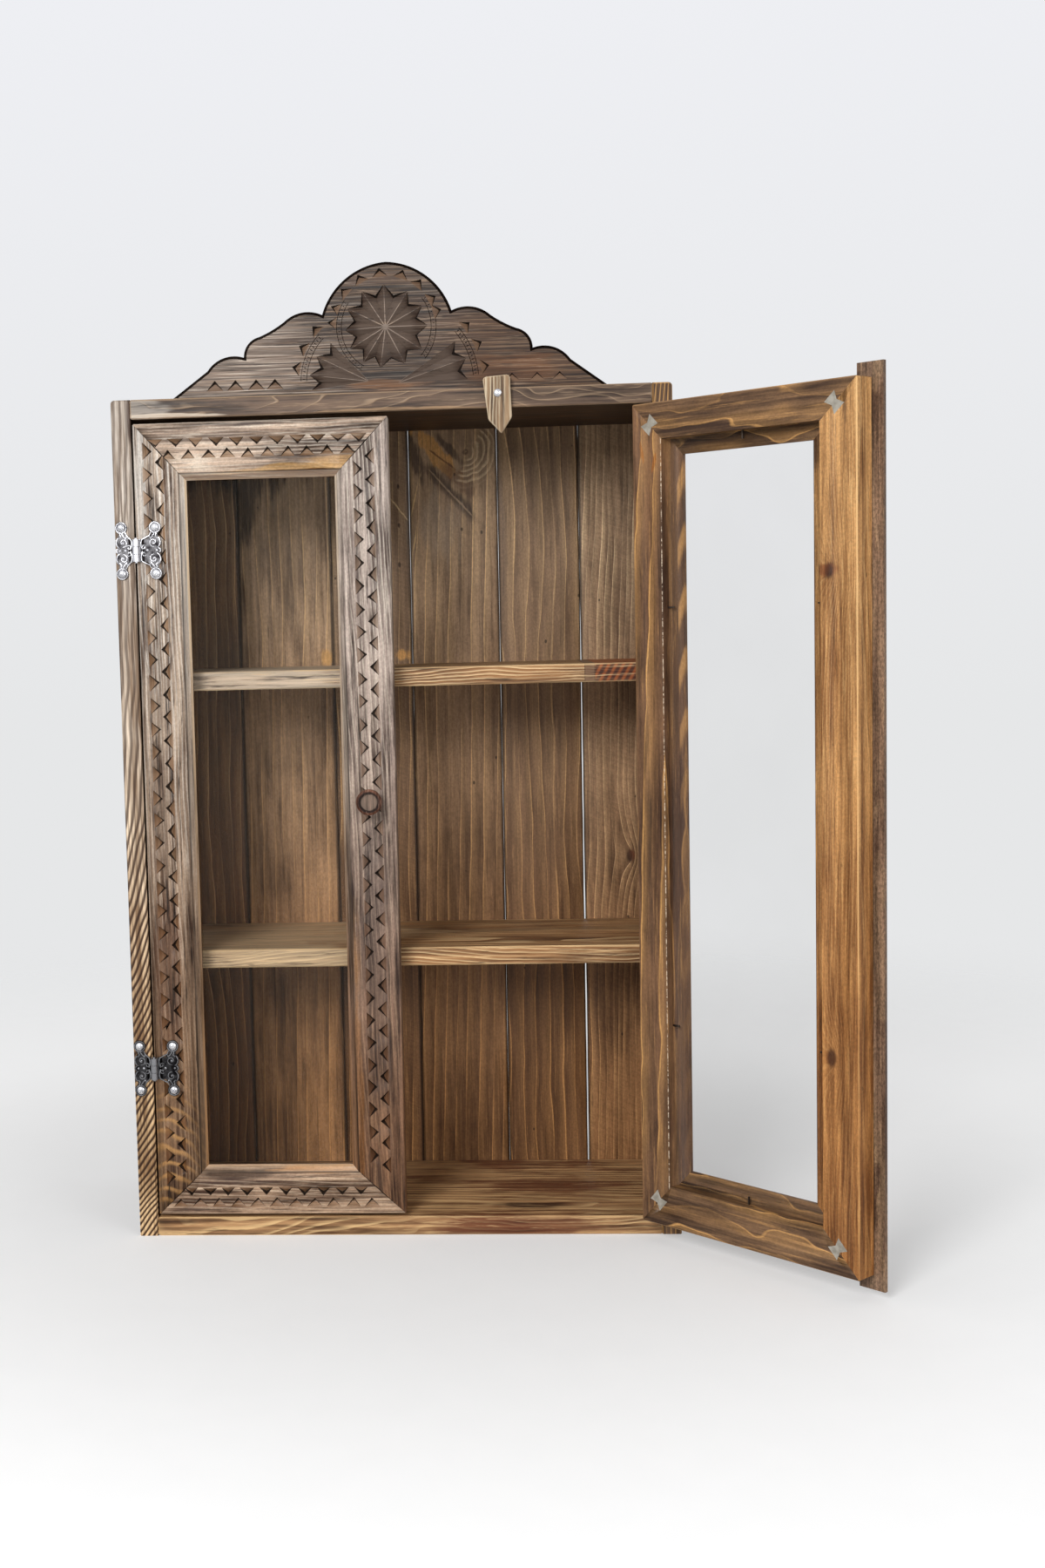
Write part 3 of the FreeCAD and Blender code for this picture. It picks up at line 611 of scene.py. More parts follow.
def screw_template():
    """Round-headed screw about the origin: its head swells toward -Y, with a cross recess."""
    profile = [(0.0, -1.55), (0.9, -1.5), (1.7, -1.32), (2.4, -1.0), (2.9, -0.62), (3.18, -0.25),
               (3.2, 0.0), (1.2, 0.0), (1.2, 9.0), (0.3, 12.0), (0.0, 12.4)]
    piece = add_object("screw_template", joined("screw_template", [turned(profile, sides=24)]))
    arm, half, raised_y, floor_y, taper = 1.5, 0.32, -3.0, -0.6, 0.6
    cross = [(-arm, -half), (-half, -half), (-half, -arm), (half, -arm), (half, -half),
             (arm, -half), (arm, half), (half, half), (half, arm), (-half, arm), (-half, half),
             (-arm, half)]
    n = len(cross)
    verts = [(x, raised_y, z) for x, z in cross]
    verts += [(x * taper, floor_y, z * taper) for x, z in cross]
    faces = [tuple(range(n)), tuple(range(2 * n - 1, n - 1, -1))]
    faces += [(i, n + i, n + (i + 1) % n, (i + 1) % n) for i in range(n)]
    cut_once(piece, add_object("screw_cross", joined("screw_cross", [(verts, faces)])))
    mesh = piece.data
    bpy.data.objects.remove(piece)
    return mesh


def screw_set(node, body, places, template, rng, open_right=False):
    """Screws at (x, y, z) seats, in one piece that stands for a CAD node."""
    name = node + "_round"
    work = bmesh.new()
    for place in places:
        copy = template.copy()
        copy.transform(Matrix.Translation(Vector(place) * MM)
                       @ Matrix.Rotation(rng.uniform(0, 1.57), 4, "Y"))
        work.from_mesh(copy)
        bpy.data.meshes.remove(copy)
    mesh = bpy.data.meshes.new(name)
    work.to_mesh(mesh)
    work.free()
    if open_right:
        turned_about_pin(mesh)
    return stand_in(add_object(name, mesh), node, body, 40)


# ---- pieces
DOORS = ((-1, "left"), (1, "right"))
for side, label in DOORS:
    rng = random.Random(11 + side)
    for member, chips_of in (("hinge_stile", stile_chips), ("free_stile", stile_chips),
                             ("top_rail", rail_chips), ("bottom_rail", rail_chips)):
        place = member.split("_")[0]
        batches = alternate(chips_of(side, place, rng)) + [mitre_grooves(side, place)]
        carved("%s_door_%s" % (label, member), batches, FRONT, label + "_door", side > 0)
carved("crest_board", crest_batches(), CREST_FACE, "case", prepare=ease_crest)
plank_rng = random.Random(29)
for index in range(6):
    ragged_plank(index + 1, plank_rng)

screw_rng = random.Random(5)
template = screw_template()
relief_pieces, screw_pieces = [], []
for side, label in DOORS:
    for kind, reach, body, direction in (("case", CASE_REACH, "case", side),
                                         ("door", DOOR_REACH, label + "_door", -side)):
        opened = side > 0 and kind == "door"
        seats = []
        for level, z0 in HINGE_Z.items():
            name = "%s_%s_hinge_%s_scrolls" % (label, level, kind)
            mesh = joined(name, leaf_ornament(reach), lambda p: (
                side * PIN_X + direction * p[0], FRONT + p[1], z0 + p[2]))
            if opened:
                turned_about_pin(mesh)
            piece = add_object(name, mesh)
            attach(piece, body)
            relief_pieces.append(piece)
            x = side * PIN_X + direction * (reach - EAR_RADIUS)
            seats += [(x, FRONT - LEAF_THICK, z0 + up * EAR_RISE) for up in (-1, 1)]
        node = "%s_hinge_%s_screws" % (label, kind)
        screw_pieces.append(screw_set(node, body, seats, template, screw_rng, opened))
screw_pieces.append(screw_set("turn_button_screw", "case",
                              [(BUTTON_X, FRONT - BUTTON_PROUD, BUTTON_Z)], template, screw_rng))
bpy.data.meshes.remove(template)

# ---- shader helpers
WHITE = (1.0, 1.0, 1.0, 1.0)


class Value:
    """A number in a node tree. Arithmetic on it adds Math nodes."""

    def __init__(self, tree, socket):
        self.tree, self.socket = tree, socket

    def __add__(self, other):
        return self.tree.math("ADD", self, other)

    def __sub__(self, other):
        return self.tree.math("SUBTRACT", self, other)

    def __rsub__(self, other):
        return self.tree.math("SUBTRACT", other, self)

    def __mul__(self, other):
        return self.tree.math("MULTIPLY", self, other)

    def __truediv__(self, other):
        return self.tree.math("DIVIDE", self, other)

    def __abs__(self):
        return self.tree.math("ABSOLUTE", self)

    def fract(self):
        return self.tree.math("FRACT", self)


class Tree:
    """Short names for building the nodes of a material or a world."""

    def __init__(self, owner):
        owner.use_nodes = True
        self.tree = owner.node_tree
        self.tree.nodes.clear()

    def node(self, kind, inputs=(), **settings):
        """A shader node with its settings and its inputs, which go by name or number."""
        made = self.tree.nodes.new("ShaderNode" + kind)
        for key, value in settings.items():
            setattr(made, key, value)
        for key, value in dict(inputs).items():
            if isinstance(value, Value):
                value = value.socket
            if isinstance(value, bpy.types.NodeSocket):
                self.tree.links.new(value, made.inputs[key])
            else:
                made.inputs[key].default_value = value
        return made

    def first(self, kind, inputs=(), **settings):
        return self.node(kind, inputs, **settings).outputs[0]

    def object_place(self):
        return self.node("TexCoord").outputs["Object"]

    def math(self, operation, *values, clamp=False):
        return Value(self, self.first("Math", enumerate(values), operation=operation,
                                      use_clamp=clamp))

    def hypot(self, a, b):
        return self.math("SQRT", a * a + b * b)

    def vector(self, operation, source, amounts):
        return self.first("VectorMath", {0: source, 1: amounts}, operation=operation)

    def combine(self, x, y, z=0.0):
        return self.first("CombineXYZ", enumerate((x, y, z)))

    def split(self, vector):
        return [Value(self, out) for out in self.node("SeparateXYZ", {0: vector}).outputs]

    def noise(self, vector, scale, detail=2.0, rough=0.5):
        """Noise at one scale, or at one for each axis."""
        if not isinstance(scale, float):
            vector, scale = self.vector("MULTIPLY", vector, scale), 1.0
        made = self.node("TexNoise", {"Vector": vector, "Scale": scale, "Detail": detail,
                                      "Roughness": rough})
        return Value(self, made.outputs["Fac"])

    def span(self, value, low, high, to_low=0.0, to_high=1.0, kind="SMOOTHSTEP"):
        """Goes from to_low to to_high while the value goes from low to high."""
        made = self.node("MapRange", enumerate((value, low, high, to_low, to_high)),
                         interpolation_type=kind)
        return Value(self, made.outputs["Result"])

    def fall(self, value, low, high, share=1.0):
        return self.span(value, low, high, share, 0.0)

    def band(self, value, rise, full, wane, none):
        return self.span(value, rise, full) * self.fall(value, wane, none)

    def mix(self, factor, a, b, blend="MIX"):
        """Mix of two colours, each a socket, a linear colour or a picture's three numbers."""
        a, b = (srgb(*c) if isinstance(c, tuple) and len(c) == 3 else c for c in (a, b))
        made = self.node("Mix", {"Factor": factor, "A": a, "B": b}, data_type="RGBA",
                         blend_type=blend)
        return made.outputs["Result"]

    def tinted(self, colour, tint):
        return self.mix(1.0, colour, tint, "MULTIPLY")

    def bump(self, height, strength, distance):
        return self.first("Bump", {"Height": height, "Strength": strength, "Distance": distance})

    def principled(self, colour, **inputs):
        """Principled shader; the inputs' names have _ for each space."""
        named = {key.replace("_", " "): value for key, value in inputs.items()}
        return self.first("BsdfPrincipled", {"Base Color": colour, **named})

    def finish(self, shader, kind="OutputMaterial"):
        self.node(kind, {"Surface": shader})


def srgb(r, g, b):
    """Linear colour from the 0-255 numbers that a picture shows."""
    def one(v):
        v /= 255.0
        return v / 12.92 if v <= 0.04045 else ((v + 0.055) / 1.055) ** 2.4
    return one(r), one(g), one(b), 1.0


# ---- wood
Patch = namedtuple("Patch", "across along wide tall colour strength slant soft on_y",
                   defaults=(0, 0.3, False))
CREAM = (226, 208, 178)
GOLD = (214, 164, 100)
LOOK = dict(
    grain="z", seed=0.0, dark=(70, 48, 34), mid=(118, 92, 72), light=CREAM, chip=(150, 114, 82),
    # growth rings: pith line across the grain, rings in a metre, their drift along the grain
    pith=(0.0, 0.05), rings=360.0, tilt=0.0, lines=0.7, sharp=0.45, halo=0.25, wander=0.006,
    ripples=0.5, knots=(),
    # unevenness of the stain, fibres, saw marks, dust and dark dots
    blotch=0.5, fibres=0.5, hair=0.6, saw=0.0, dusty=0.0, specks=0.0, rough=0.45,
    # places and edges, some of which paint light and shade
    patches=(), insert=None, open_right=False, low=None, flank=None, face=None, sight=None,
    lip=0.35, worn=0.55, burnt=0.0)


def local_frame(t, open_right):
    """Object coordinates and normal, with the right door turned back to its shut place."""
    coords = t.object_place()
    normal = t.first("VectorTransform", {0: t.node("NewGeometry").outputs["True Normal"]},
                     vector_type="NORMAL", convert_from="WORLD", convert_to="OBJECT")
    if not open_right:
        return coords, normal
    return [t.first("VectorRotate", {"Vector": source, "Center": centre, "Angle": -RIGHT_OPEN},
                    rotation_type="Z_AXIS")
            for source, centre in ((coords, (PIN_X * MM, PIN_Y * MM, 0)), (normal, (0, 0, 0)))]


def patch_mask(t, across, along, wobble, patch):
    """Ragged oval about a place on a board."""
    dl = along - patch.along
    da = across - patch.across
    if patch.slant:
        da = da + dl * patch.slant
    far = t.hypot((da + wobble * 0.0016) / patch.wide, dl / patch.tall)
    return t.fall(far + wobble, 0.9 - patch.soft, 0.9 + patch.soft, patch.strength)


def growth(t, look, point, across, y, along, ripple, patchy):
    """Masks of the late wood, in rings about the pith, and of the knots that bend it."""
    swirl = t.noise(point, (11.0, 11.0, 3.2))
    bend = (swirl - 0.5) * (look.wander * 5) + (ripple - 0.5) * (look.wander * look.ripples)
    radius = t.hypot(across + bend - look.pith[0], y + bend - look.pith[1]) + along * look.tilt
    knot = None
    for k_across, k_along, core, spread in look.knots:
        dist = t.hypot(across - k_across, (along - k_along) * 0.6)
        pull = t.math("POWER", 2.718, dist * (-1.0 / spread))
        radius = radius + pull * (spread * 1.3)
        mask = t.fall(dist + (ripple - 0.5) * (core * 0.8), core * 0.5, core * 1.1)
        knot = t.math("MAXIMUM", knot, mask) if knot else mask
    uneven = t.noise(t.combine(radius, 0.0), (90.0, 1.0, 1.0), 1.0)
    phase = ((radius + uneven * 0.006) * look.rings).fract()
    fall = t.fall(phase, 0.93, 1.0)
    late = t.math("MAXIMUM", t.span(phase, look.sharp, 0.9) * fall,
                  t.span(phase, 0.1, 0.92, 0.0, look.halo) * fall)
    return late * t.span(patchy, 0.34, 0.6, 0.2, 1.0), knot


def fineness(t, look, point, across, along, streak, patchy):
    """Fine light and dark over the wood: streaks, saw marks, dust and dark dots."""
    fine = t.span(streak, 0.3, 0.7, 1.0 - look.fibres * 0.4, 1.0 + look.fibres * 0.35, "LINEAR")
    if look.saw:
        cuts = t.noise(t.combine(along * 700.0 + across * 260.0, across * 30.0, along * 12.0),
                       1.0, 2.0, 0.6)
        fine = fine * t.span(cuts, 0.4, 0.62, 1.0 - look.saw * 0.55, 1.0 + look.saw * 0.45)
    if look.dusty:
        dust = t.noise(point, (700.0, 700.0, 420.0), 2.0, 0.7)
        fine = fine * t.span(dust, 0.35, 0.65, 1.0 - look.dusty, 1.0 + look.dusty)
    if look.specks:
        dots = t.node("TexVoronoi", {"Vector": t.vector("MULTIPLY", point, (60.0, 60.0, 38.0)),
                                     "Scale": 1.0})
        dot = t.fall(dots.outputs["Distance"], 0.045, 0.075) * t.span(patchy, 0.45, 0.55)
        fine = fine * t.span(dot, 0.0, 1.0, 1.0, 1.0 - look.specks)
    return t.combine(fine, fine, fine)


def sight_edge(t, look, colour, place, forward, patchy):
    """Painted shade along a step near the door's opening, and painted highlight on the lip at its
    edge.
    """
    axis, edge, sign = look.sight
    away = (abs(place[axis]) - edge) * sign
    front = t.fall(forward, -0.5, -0.3)
    # painted shade: a dark line 4 to 6 mm out from the opening's edge
    step_shade = t.band(away, 0.0040, 0.0048, 0.0054, 0.0062) * t.span(patchy, 0.3, 0.6, 0.3, 0.85)
    colour = t.mix(step_shade * front, colour, (38, 25, 18))
    # painted highlight on the lip, within 2 mm of the opening's edge
    edge_highlight = t.fall(away, 0.0012, 0.0019) * t.span(patchy, 0.3, 0.6, 0.2, look.lip)
    return t.mix(edge_highlight * front, colour, (232, 198, 150))


def pine(name, **settings):
    """Stained softwood: growth rings, fibres, blotches, knots, cuts, worn arrises with painted
    highlight.
    """
    look = SimpleNamespace(**{**LOOK, **settings})
    material = bpy.data.materials.new(name)
    t = Tree(material)
    coords, normal = local_frame(t, look.open_right)
    x, y, z = place = t.split(coords)
    normals = t.split(normal)
    across, along = (x, z) if look.grain == "z" else (z, x)
    seed = look.seed
    point = t.vector("ADD", t.combine(across, y, along), (seed * 0.731, seed * 0.379, seed * 1.173))
    ripple = t.noise(point, (60.0, 60.0, 22.0), 1.0)
    patchy = t.noise(point, (70.0, 70.0, 7.0), 2.0, 0.6)
    cloud = t.noise(point, (24.0, 24.0, 9.0), 4.0, 0.62)
    streak = t.noise(point, (200.0, 200.0, 7.0), 3.0, 0.65)
    fibre = t.noise(point, (380.0, 380.0, 16.0), 4.0, 0.75)
    late, knot = growth(t, look, point, across, y, along, ripple, patchy)

    tone = (t.span(cloud, 0.3, 0.7) - 0.5) * (look.blotch * 1.7)
    tone = tone + (t.span(streak, 0.34, 0.66) - 0.5) * (look.fibres * 1.3)
    tone = t.math("ADD", tone + 0.5, (t.span(fibre, 0.38, 0.62) - 0.5) * (look.hair * 0.6),
                  clamp=True)
    colour = t.mix(tone, look.dark, look.mid)
    colour = t.mix(t.math("MULTIPLY", late, look.lines, clamp=True), colour, look.light)
    ragged = (cloud - 0.5) * 3.2 + (streak - 0.5) * 1.6
    for patch in (Patch(*row) for row in look.patches):
        mask = patch_mask(t, y if patch.on_y else across, along, ragged, patch)
        colour = t.mix(mask * t.span(fibre, 0.35, 0.55, 0.65, 1.0), colour, patch.colour)
    if look.insert:
        colour = look.insert(t, colour, x, y, z)
    hair_colour = tuple(part * 0.5 for part in look.dark)
    colour = t.mix(t.fall(fibre, 0.34, 0.44, look.hair), colour, hair_colour)
    colour = t.mix(t.span(fibre, 0.56, 0.68, 0.0, look.hair * 0.75), colour, look.light)
    colour = t.tinted(colour, fineness(t, look, point, across, along, streak, patchy))
    if knot:
        core = t.mix(t.span(ripple, 0.35, 0.6), (104, 48, 18), (42, 22, 12))
        colour = t.mix(knot * 0.85, colour, core)

    # painted shade: faces that point along one axis, such as the top board's underside, tinted
    # darker
    if look.flank:
        axis, shade = look.flank
        colour = t.mix(t.span(abs(normals[axis]), 0.75, 0.9), colour, t.tinted(colour, shade))
    if look.face:
        colour = t.mix(t.fall(normals[1], -0.6, -0.3), colour, t.tinted(colour, look.face))
    if look.sight:
        colour = sight_edge(t, look, colour, place, normals[1], patchy)
    cut = t.node("Attribute", attribute_name="cut").outputs["Fac"]
    uncut = t.fall(cut, 0.01, 0.05)
    facing = abs(normals[1])
    shine = SHINE
    if look.burnt:
        edge = t.fall(facing, 0.9, 0.985) * uncut
        colour = t.mix(edge * look.burnt, colour, (15, 10, 8))
        shine = (1.0 - edge) * SHINE
    elif look.worn:
        # arrises lightened for wear and as painted highlight on the chamfers
        arris = t.band(facing, 0.5, 0.66, 0.76, 0.9) * t.span(patchy, 0.3, 0.6, 0.2, 1.0) * uncut
        colour = t.mix(arris * look.worn, colour, look.light)
    colour = t.mix(t.band(cut, 0.4, 0.45, 0.55, 0.6) * 0.6, colour, look.chip)
    colour = t.mix(t.band(cut, 0.05, 0.1, 0.2, 0.3) * 0.75, colour, (62, 47, 38))
    # painted light: darker and warmer toward the foot, for the stronger light and grey sheen higher
    # up
    if look.low:
        colour = t.tinted(colour, t.mix(t.span(z, 0.05, 0.62), (*look.low, 1.0), WHITE))
    # cut walls and grooves near black: stain in the cuts, and painted shade in the recesses
    colour = t.mix(t.span(cut, 0.6, 0.95, 0.0, 0.93), colour, (16, 10, 7))
    t.finish(t.principled(
        colour, Roughness=t.span(fibre, 0.2, 0.8, look.rough - 0.08, look.rough + 0.12),
        Specular_IOR_Level=shine,
        Normal=t.bump(late * 0.6 + fibre * 0.4, RELIEF, RELIEF_DEPTH)))
    return material


# ---- figures in single boards
def shelf_insert(t, colour, x, y, z):
    """The upper shelf's right end: a dull joint, then reddish wood with slanting dark bands."""
    colour = t.mix(t.band(x, 0.1470, 0.1474, 0.1545, 0.1549) * 0.8, colour, (112, 82, 62))
    band = t.band(((x + z * -0.55) * 175.0).fract(), 0.0, 0.35, 0.6, 0.9)
    band = band * t.span(y, -0.0600, -0.0580, 1.0, 0.1)
    red = t.mix(band, (158, 82, 38), (74, 32, 20))
    colour = t.mix(t.span(x, 0.1549, 0.1553) * 0.9, colour, red)
    for joint in (0.1471, 0.1548):
        colour = t.mix(t.fall(abs(x - joint), 0.0001, 0.0004, 0.8), colour, (30, 18, 12))
    return colour


def crest_insert(t, colour, x, y, z):
    """Pale grain with painted sheen at the left, browner right, painted highlight on star and fan
    ridges.
    """
    fine = t.noise(t.combine(x * 15.0, z * 820.0, 3.0), 1.0, 2.0, 0.55)
    # pale grain lines, drawn strongest at the left as painted sheen; the right end tinted browner
    grain_and_sheen_sweep = t.span(x, -0.12, -0.01, 0.9, 0.16)
    colour = t.mix(t.span(fine, 0.52, 0.64) * grain_and_sheen_sweep, colour, (204, 188, 172))
    colour = t.mix(t.fall(fine, 0.34, 0.46, 0.7), colour, (34, 23, 17))
    colour = t.tinted(colour, t.mix(t.span(x, 0.03, 0.08), WHITE, (0.80, 0.69, 0.58, 1.0)))
    # painted highlight: the ridges between the cuts in star and fans lightened
    carved_face = t.fall(y, -0.0785, -0.0765)
    for centre, reach, side, low, high in ((ROSE, 0.0250, 0, 0, 0),
                                           (LEFT_FAN, 0.0390, -1, -0.12, 1.0),
                                           (RIGHT_FAN, 0.0490, 1, 0.03, 0.66)):
        dx, dz = x - centre[0] * MM, z - centre[1] * MM
        mask = t.fall(t.hypot(dx, dz), reach - 0.007, reach, 0.7) * carved_face
        if side:
            out = dx * side
            mask = mask * t.span(dz - out * low, -0.0006, 0.0006)
            mask = mask * t.fall(dz - out * high, -0.0006, 0.0006) * t.span(out, 0.0, 0.003)
        colour = t.mix(mask, colour, (150, 132, 118))
    return colour


def side_figure(t, colour, x, y, z):
    """Dark growth lines down the left side, straight above and slanting, waved ones below."""
    bend = t.noise(t.combine(x, z), (15.0, 13.0, 1.0), 1.5) * t.span(z, 0.10, 0.50, 0.026, 0.012)
    low = t.math("MINIMUM", z, 0.4)
    place = x + y * 0.8 - z * 0.03 - (low - low * low * 1.25) * 0.85 + bend
    line = t.band((place * 215.0).fract(), 0.25, 0.6, 0.8, 1.0)
    line = line * t.span(z, 0.2, 0.6, 0.97, 0.45) * t.span(y, -0.0820, -0.0790, 1.0, 0.12)
    return t.mix(line, colour, (52, 31, 18))


def stile_foot(t, colour, x, y, z):
    """Golden arches low on the left hinge stile."""
    bend = t.noise(t.combine(x, z), (34.0, 26.0, 1.0), 1.0)
    rise = x + 0.190
    phase = ((z + rise * rise * 26.0 + bend * 0.022) * 92.0).fract()
    line = t.band(phase, 0.3, 0.62, 0.66, 0.86) * t.fall(z, 0.085, 0.135, 0.9)
    return t.mix(line * t.span(x, -0.184, -0.166, 1.0, 0.25), colour, (255, 226, 172))


def plank_swirl(t, colour, x, z):
    """Growth rings that run below and to the right of a small eye in the fourth plank."""
    dx, dz = x - 0.0565, (z - 0.6266) * 0.9
    shake = t.noise(t.combine(x, z), (55.0, 40.0, 1.0))
    far = t.hypot(dx, dz) + (shake - 0.5) * 0.009
    line = t.band((far * 250.0).fract(), 0.35, 0.8, 0.88, 1.0)
    reach = t.band(far, 0.003, 0.007, 0.020, 0.029) * t.span(dx * 0.9 - dz * 0.5, 0.001, 0.006)
    colour = t.mix(reach * 0.35, colour, (140, 116, 92))
    colour = t.mix(line * reach * 0.7, colour, (222, 194, 154))
    near = t.band(far, 0.0010, 0.0018, 0.0024, 0.0034)
    return t.mix(near * 0.6, colour, (62, 44, 34))


def shaded_gap_edges(number):
    """Insert that paints shade on a plank beside its gaps."""
    def insert(t, colour, x, y, z):
        for place in GAP_PLACE[max(0, number - 2):number]:
            near = t.fall(abs(x - place * MM), 0.0008, 0.0026, 0.8)
            colour = t.mix(near, colour, (36, 25, 18))
        return plank_swirl(t, colour, x, z) if number == 4 else colour
    return insert


def sight_shadow(t, colour, x, y, z):
    """Darkens the right free stile's edge toward the pane."""
    return t.mix(t.span(x, 0.0424, 0.0430, 0.0, 0.65), colour, (56, 36, 27))


def lip_ovals(t, colour, x, y, z):
    """Golden tongues down the lip of the right hinge stile, painted shade on it, painted highlight
    on its rebate arris.
    """
    oval = t.band(((z * 22.0).fract() + x * 60.0).fract(), 0.12, 0.4, 0.55, 0.72)
    oval = oval * t.fall(x, 0.1640, 0.1648, 0.7) * t.span(z, 0.30, 0.46, 0.12, 1.0)
    colour = t.mix(oval, colour, (196, 146, 88))
    # painted shade over the lip beside the rebate, where the golden tongues stay
    shaded_lip = t.mix(oval, (92, 64, 47), (196, 146, 88))
    colour = t.mix(t.fall(x, 0.1703, 0.1706, 0.6), colour, shaded_lip)
    # painted highlight, broken by dots, along the rebate arris
    dots = t.noise(t.combine(x, z), (300.0, 420.0, 1.0), 2.0, 0.6)
    edge_highlight = t.fall(abs(x - (REBATE_EDGE + 0.7) * MM), 0.0002, 0.0006, 0.9) * t.span(dots, 0.4, 0.6)
    return t.mix(edge_highlight, colour, (226, 206, 180))


def knob_rings(t, colour, x, y, z):
    """Dark turned rim about a paler, greyish dish."""
    far = t.hypot(abs(x) - KNOB_X * MM, z - KNOB_Z * MM)
    colour = t.mix(t.fall(far, 0.0062, 0.0072) * 0.85, colour, (132, 114, 100))
    return t.mix(t.band(far, 0.0060, 0.0068, 0.0078, 0.0086) * 0.9, colour, (26, 14, 10))


# ---- looks of the wooden pieces
wood = {
    "left_side": dict(
        seed=1.0, dark=(150, 128, 108), mid=(238, 227, 214), light=(52, 35, 25),
        pith=(-0.33, -0.02), rings=400.0, tilt=0.014, lines=0.6, insert=side_figure, worn=0.0,
        hair=0.4, low=(1.0, 0.76, 0.47), sharp=0.6, halo=0.1, flank=(0, (108, 90, 74)),
        patches=[(-0.2005, 0.648, 0.0022, 0.02, (58, 34, 22), 0.9)]),
    "right_side": dict(
        seed=2.0, pith=(0.34, 0.0), rings=380.0, tilt=0.012, light=GOLD,
        flank=(0, (200, 180, 165))),
    "top_board": dict(
        grain="x", seed=3.0, dark=(54, 38, 28), mid=(106, 85, 70), light=(186, 158, 128),
        pith=(0.72, -0.04), rings=130.0, tilt=0.05, wander=0.014, lines=0.55, sharp=0.76,
        ripples=1.5, flank=(2, (160, 142, 128)),
        # the first, grey patch at the left end is painted sheen
        patches=[(0.652, -0.192, 0.008, 0.016, (190, 180, 168), 0.6),
                 (0.6465, -0.16, 0.0012, 0.04, (226, 208, 186), 0.7),
                 (0.652, -0.118, 0.006, 0.02, (50, 36, 27), 0.6),
                 (0.6465, 0.02, 0.0010, 0.10, (186, 150, 112), 0.6)]),
    "bottom_board": dict(
        grain="x", seed=4.0, dark=(96, 64, 40), mid=(178, 136, 94), light=(240, 202, 146),
        pith=(0.05, -0.05), rings=240.0, tilt=0.02, wander=0.012,
        patches=[(0.006, 0.09, 0.012, 0.075, (104, 52, 32), 0.75),
                 (-0.055, 0.10, 0.014, 0.03, (42, 28, 22), 0.8, 0, 0.3, True)]),
    "upper_shelf": dict(
        grain="x", seed=5.0, dark=(74, 46, 28), mid=(150, 106, 66), light=(246, 212, 162),
        pith=(0.50, -0.02), rings=420.0, tilt=0.012, lines=0.75, hair=0.75, insert=shelf_insert,
        patches=[(0.441, -0.11, 0.03, 0.09, (230, 212, 188), 0.65)]),
    "lower_shelf": dict(
        grain="x", seed=6.0, dark=(84, 52, 30), mid=(156, 112, 72), light=(240, 204, 152),
        pith=(0.29, -0.03), tilt=0.01, lines=0.75, hair=0.7,
        patches=[(0.219, -0.11, 0.03, 0.09, (224, 196, 156), 0.6)]),
    "crest_board": dict(
        grain="x", seed=7.0, dark=(34, 23, 17), mid=(80, 61, 49), light=(176, 150, 126),
        pith=(0.56, -0.02), rings=300.0, tilt=0.02, wander=0.008, burnt=0.96, lines=0.42,
        hair=0.7, sharp=0.7, chip=(120, 92, 70), insert=crest_insert,
        patches=[(0.664, 0.0, 0.004, 0.03, (150, 104, 68), 0.5),
                 (0.676, 0.10, 0.012, 0.05, (124, 84, 52), 0.5),
                 # grey patch at the upper left: painted sheen
                 (0.69, -0.12, 0.03, 0.06, (150, 132, 118), 0.6)]),
    "turn_button": dict(
        seed=8.0, dark=(82, 58, 40), mid=(156, 126, 94), pith=(0.16, -0.06), rings=330.0,
        lines=0.9),
    "right_door_lapping_strip": dict(
        seed=51.0, dark=(84, 62, 48), mid=(138, 110, 88), light=(176, 146, 110),
        pith=(0.0, -0.16), rings=420.0, open_right=True, lines=0.3, specks=0.4, dusty=0.3),
}
DARK_DOT, GILT = (44, 26, 18), (222, 186, 132)
